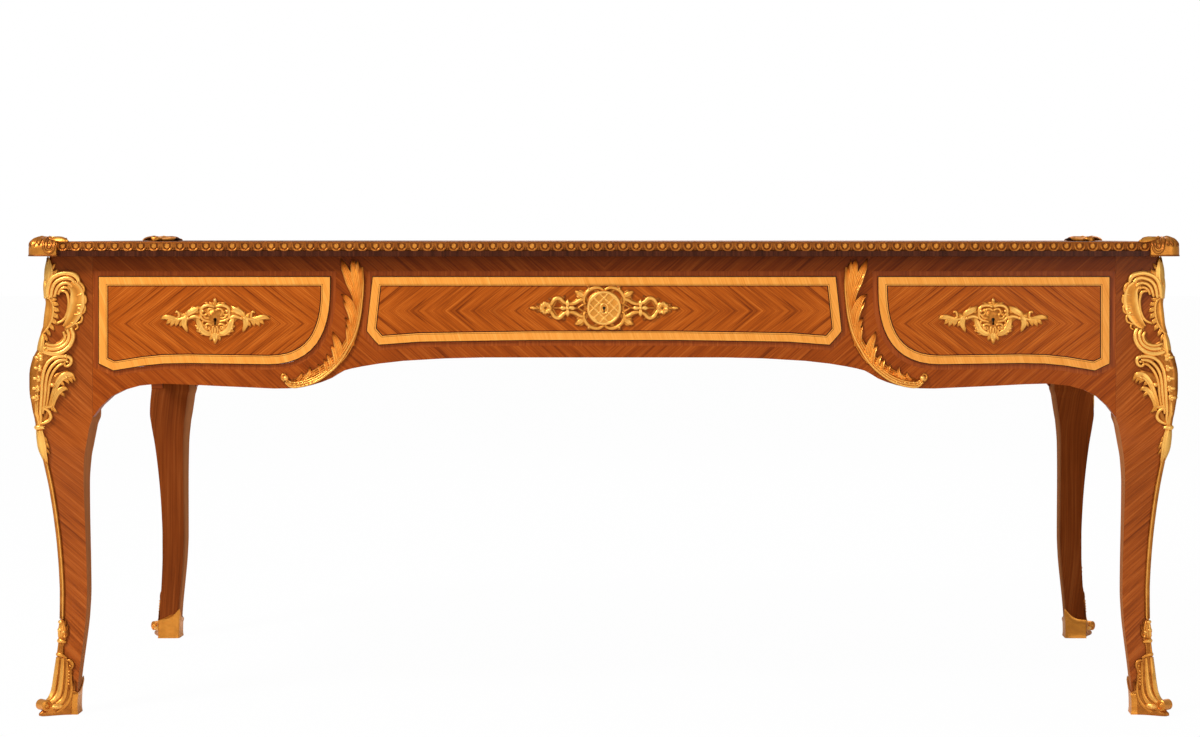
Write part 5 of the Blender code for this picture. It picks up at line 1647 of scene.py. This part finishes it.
def rimUnit():
    collar = castStrokes("plain", rimLook["collar"], 2)
    dart = castStrokes("plain", rimLook["dart"], 1)
    deselectAll()
    wide, tall, deep = (v * mm for v in rimLook["egg"])
    bpy.ops.mesh.primitive_uv_sphere_add(
        segments=rimLook["eggSides"], ring_count=rimLook["eggRings"], radius=1,
        scale=(wide, tall, deep), location=(0, rimLook["eggUp"] * mm, 0))
    bpy.ops.object.transform_apply(location=True, rotation=False, scale=True)
    return joined("rim_unit", [collar, dart, bpy.context.object])


def makeRim(name, node, alongX, facing):
    low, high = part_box(node)
    start, end = (low.x, high.x) if alongX else (low.y, high.y)
    start, end = start - rimLook["runOn"] * mm, end + rimLook["runOn"] * mm
    count = round((end - start) / (rimLook["pitch"] * mm))
    pitch = (end - start) / count
    unit = rimUnit()
    repeat = unit.modifiers.new("repeat", "ARRAY")
    repeat.use_relative_offset = False
    repeat.use_constant_offset = True
    repeat.constant_offset_displace = (pitch, 0, 0)
    repeat.count = count
    pick(unit)
    bpy.ops.object.modifier_apply(modifier="repeat")
    flat = pointsOf(unit.data)
    # painted relief shading on the eggs, darker where they lie low
    least, most = rimLook["eggShading"]
    share = np.clip((flat[:, 2] / mm - rimLook["eggFrom"]) / rimLook["eggSpan"], 0, 1)
    setAttribute(unit.data, "crest", least + (most - least) * share)
    faceOut, faceUp = np.transpose(rimLook["section"][2:9])
    sectionOut = smoothLine(faceUp, faceOut)
    along = start + pitch / 2 + flat[:, 0]
    out = sectionOut(flat[:, 1] / mm) * mm + flat[:, 2]

    def laid(along, out, up):
        edge = (low if facing < 0 else high)[1 if alongX else 0]
        board = abs(edge) - rimLook["deep"] * mm
        away = facing * (board + out)
        return np.stack([along, away, low.z + up], 1) if alongX else np.stack([away, along, low.z + up], 1)

    setPoints(unit.data, laid(along, out, flat[:, 1]))
    outline = np.array(rimLook["section"]) * mm
    closed = np.vstack([outline, outline[:1]])

    def place(u, v):
        i = np.clip(np.round(v * (len(closed) - 1)).astype(int), 0, len(closed) - 1)
        along = start + (end - start) * u
        return laid(along, closed[i, 0], closed[i, 1]), np.stack([along, v], 1)

    base = wrappedGrid("rim_base", rimLook["columns"], len(closed) - 1, place)
    closeEnds(base, weld)
    # painted shade under the lip, a little lighter on it
    height = (pointsOf(base.data)[:, 2] - low.z) / mm
    below, onLip = rimLook["crest"]
    setAttribute(base.data, "crest", np.where(height > rimLook["lipFrom"], onLip, below))
    rim = joined(name, [unit, base])
    gilded(rim, rimLook["smooth"])
    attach(rim, "frame")
    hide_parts(node)


rims = {"front": (True, -1), "back": (True, 1), "left": (False, -1), "right": (False, 1)}
for place, (alongX, facing) in rims.items():
    makeRim("egg_and_dart_" + place, "rim_" + place, alongX, facing)
print("rims done")
removeAll(list(sectionPieces.values()))


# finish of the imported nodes, by the start of their names

nodeFinish = {
    "front_apron": "apronVeneer", "top_board": "topBorder", "leather": "toolLeather", "drawer_": "drawerOak",
    "partition": "drawerOak", "inner_runner": "drawerOak", "outer_runner": "drawerOak", "lock_": "lockSteel",
    "leg_": "apronVeneer", "left_apron": "apronVeneer", "right_apron": "apronVeneer",
    "back_apron": "apronVeneer", "": "giltBronze",
}
for name, node in nodes.items():
    dress(node, next(finish for start, finish in nodeFinish.items() if name.startswith(start)))


# floor, light and camera

floorLook = {"size": 60.0, "drop": 0.5, "paper": 0.9, "whitened": 0.98}


def makeFloor():
    deselectAll()
    bpy.ops.mesh.primitive_plane_add(size=floorLook["size"], location=(0, 0, -floorLook["drop"] * mm))
    floor = bpy.context.object
    floor.name = "studio_floor"
    material = bpy.data.materials.new("floorPaper")
    material.use_nodes = True
    tree = material.node_tree
    tree.nodes.remove(tree.nodes["Principled BSDF"])
    paper = tree.nodes.new("ShaderNodeBsdfDiffuse")
    paper.inputs["Color"].default_value = (*[floorLook["paper"]] * 3, 1)
    glow = tree.nodes.new("ShaderNodeEmission")
    glow.inputs["Strength"].default_value = 1.0
    path = tree.nodes.new("ShaderNodeLightPath")
    mix = tree.nodes.new("ShaderNodeMixShader")
    seen = reckon(tree, "MULTIPLY", path.outputs["Is Camera Ray"], floorLook["whitened"])
    plug(tree, seen, mix.inputs[0])
    plug(tree, paper.outputs[0], mix.inputs[1])
    plug(tree, glow.outputs[0], mix.inputs[2])
    plug(tree, mix.outputs[0], tree.nodes["Material Output"].inputs[0])
    floor.data.materials.append(material)


lamps = {
    "key": {"at": (-2.8, -2.8, 3.8), "size": 1.0, "power": 186},
    "fill": {"at": (2.2, -4.4, 1.6), "size": 2.6, "power": 36},
    "back": {"at": (0.6, 3.4, 3.2), "size": 3.0, "power": 50},
}
lampAim = (0, 0, 0.5)
roomLight = 0.42


def makeLight():
    world = bpy.data.worlds.new("studioWorld")
    bpy.context.scene.world = world
    world.use_nodes = True
    tree = world.node_tree
    background = tree.nodes["Background"]
    background.inputs["Color"].default_value = white
    path = tree.nodes.new("ShaderNodeLightPath")
    seen = reckon(tree, "MAXIMUM", path.outputs["Is Camera Ray"], path.outputs["Is Transmission Ray"])
    whitened = reckon(tree, "MULTIPLY", seen, 1 - roomLight)
    plug(tree, reckon(tree, "ADD", whitened, roomLight), background.inputs["Strength"])
    for name, lamp in lamps.items():
        light = bpy.data.lights.new(name, "AREA")
        light.shape = "SQUARE"
        light.size = lamp["size"]
        light.energy = lamp["power"]
        holder = linked(name, light)
        holder.location = lamp["at"]
        aim = np.array(lampAim) - np.array(lamp["at"])
        tilt = math.atan2(math.hypot(aim[0], aim[1]), -aim[2])
        holder.rotation_euler = (tilt, 0, math.atan2(aim[1], aim[0]) - math.pi / 2)


# the eye stands level with the top, right of the middle, and the frame is shifted to suit
eye = {"at": (0.184, -4.871, 0.791), "lens": 80.6, "sensor": 36, "axisPx": (716, 235),
       "framePx": (1200, 737)}


def makeCamera():
    lens = bpy.data.cameras.new("eye")
    lens.sensor_width = eye["sensor"]
    lens.lens = eye["lens"]
    wide, tall = eye["framePx"]
    lens.shift_x = (wide / 2 - eye["axisPx"][0]) / wide
    lens.shift_y = (eye["axisPx"][1] - tall / 2) / wide
    holder = linked("eye", lens)
    holder.location = eye["at"]
    holder.rotation_euler = (math.pi / 2, 0, 0)
    bpy.context.scene.camera = holder


makeFloor()
makeLight()
makeCamera()
bpy.context.scene.view_settings.view_transform = "Standard"
print("stage done")
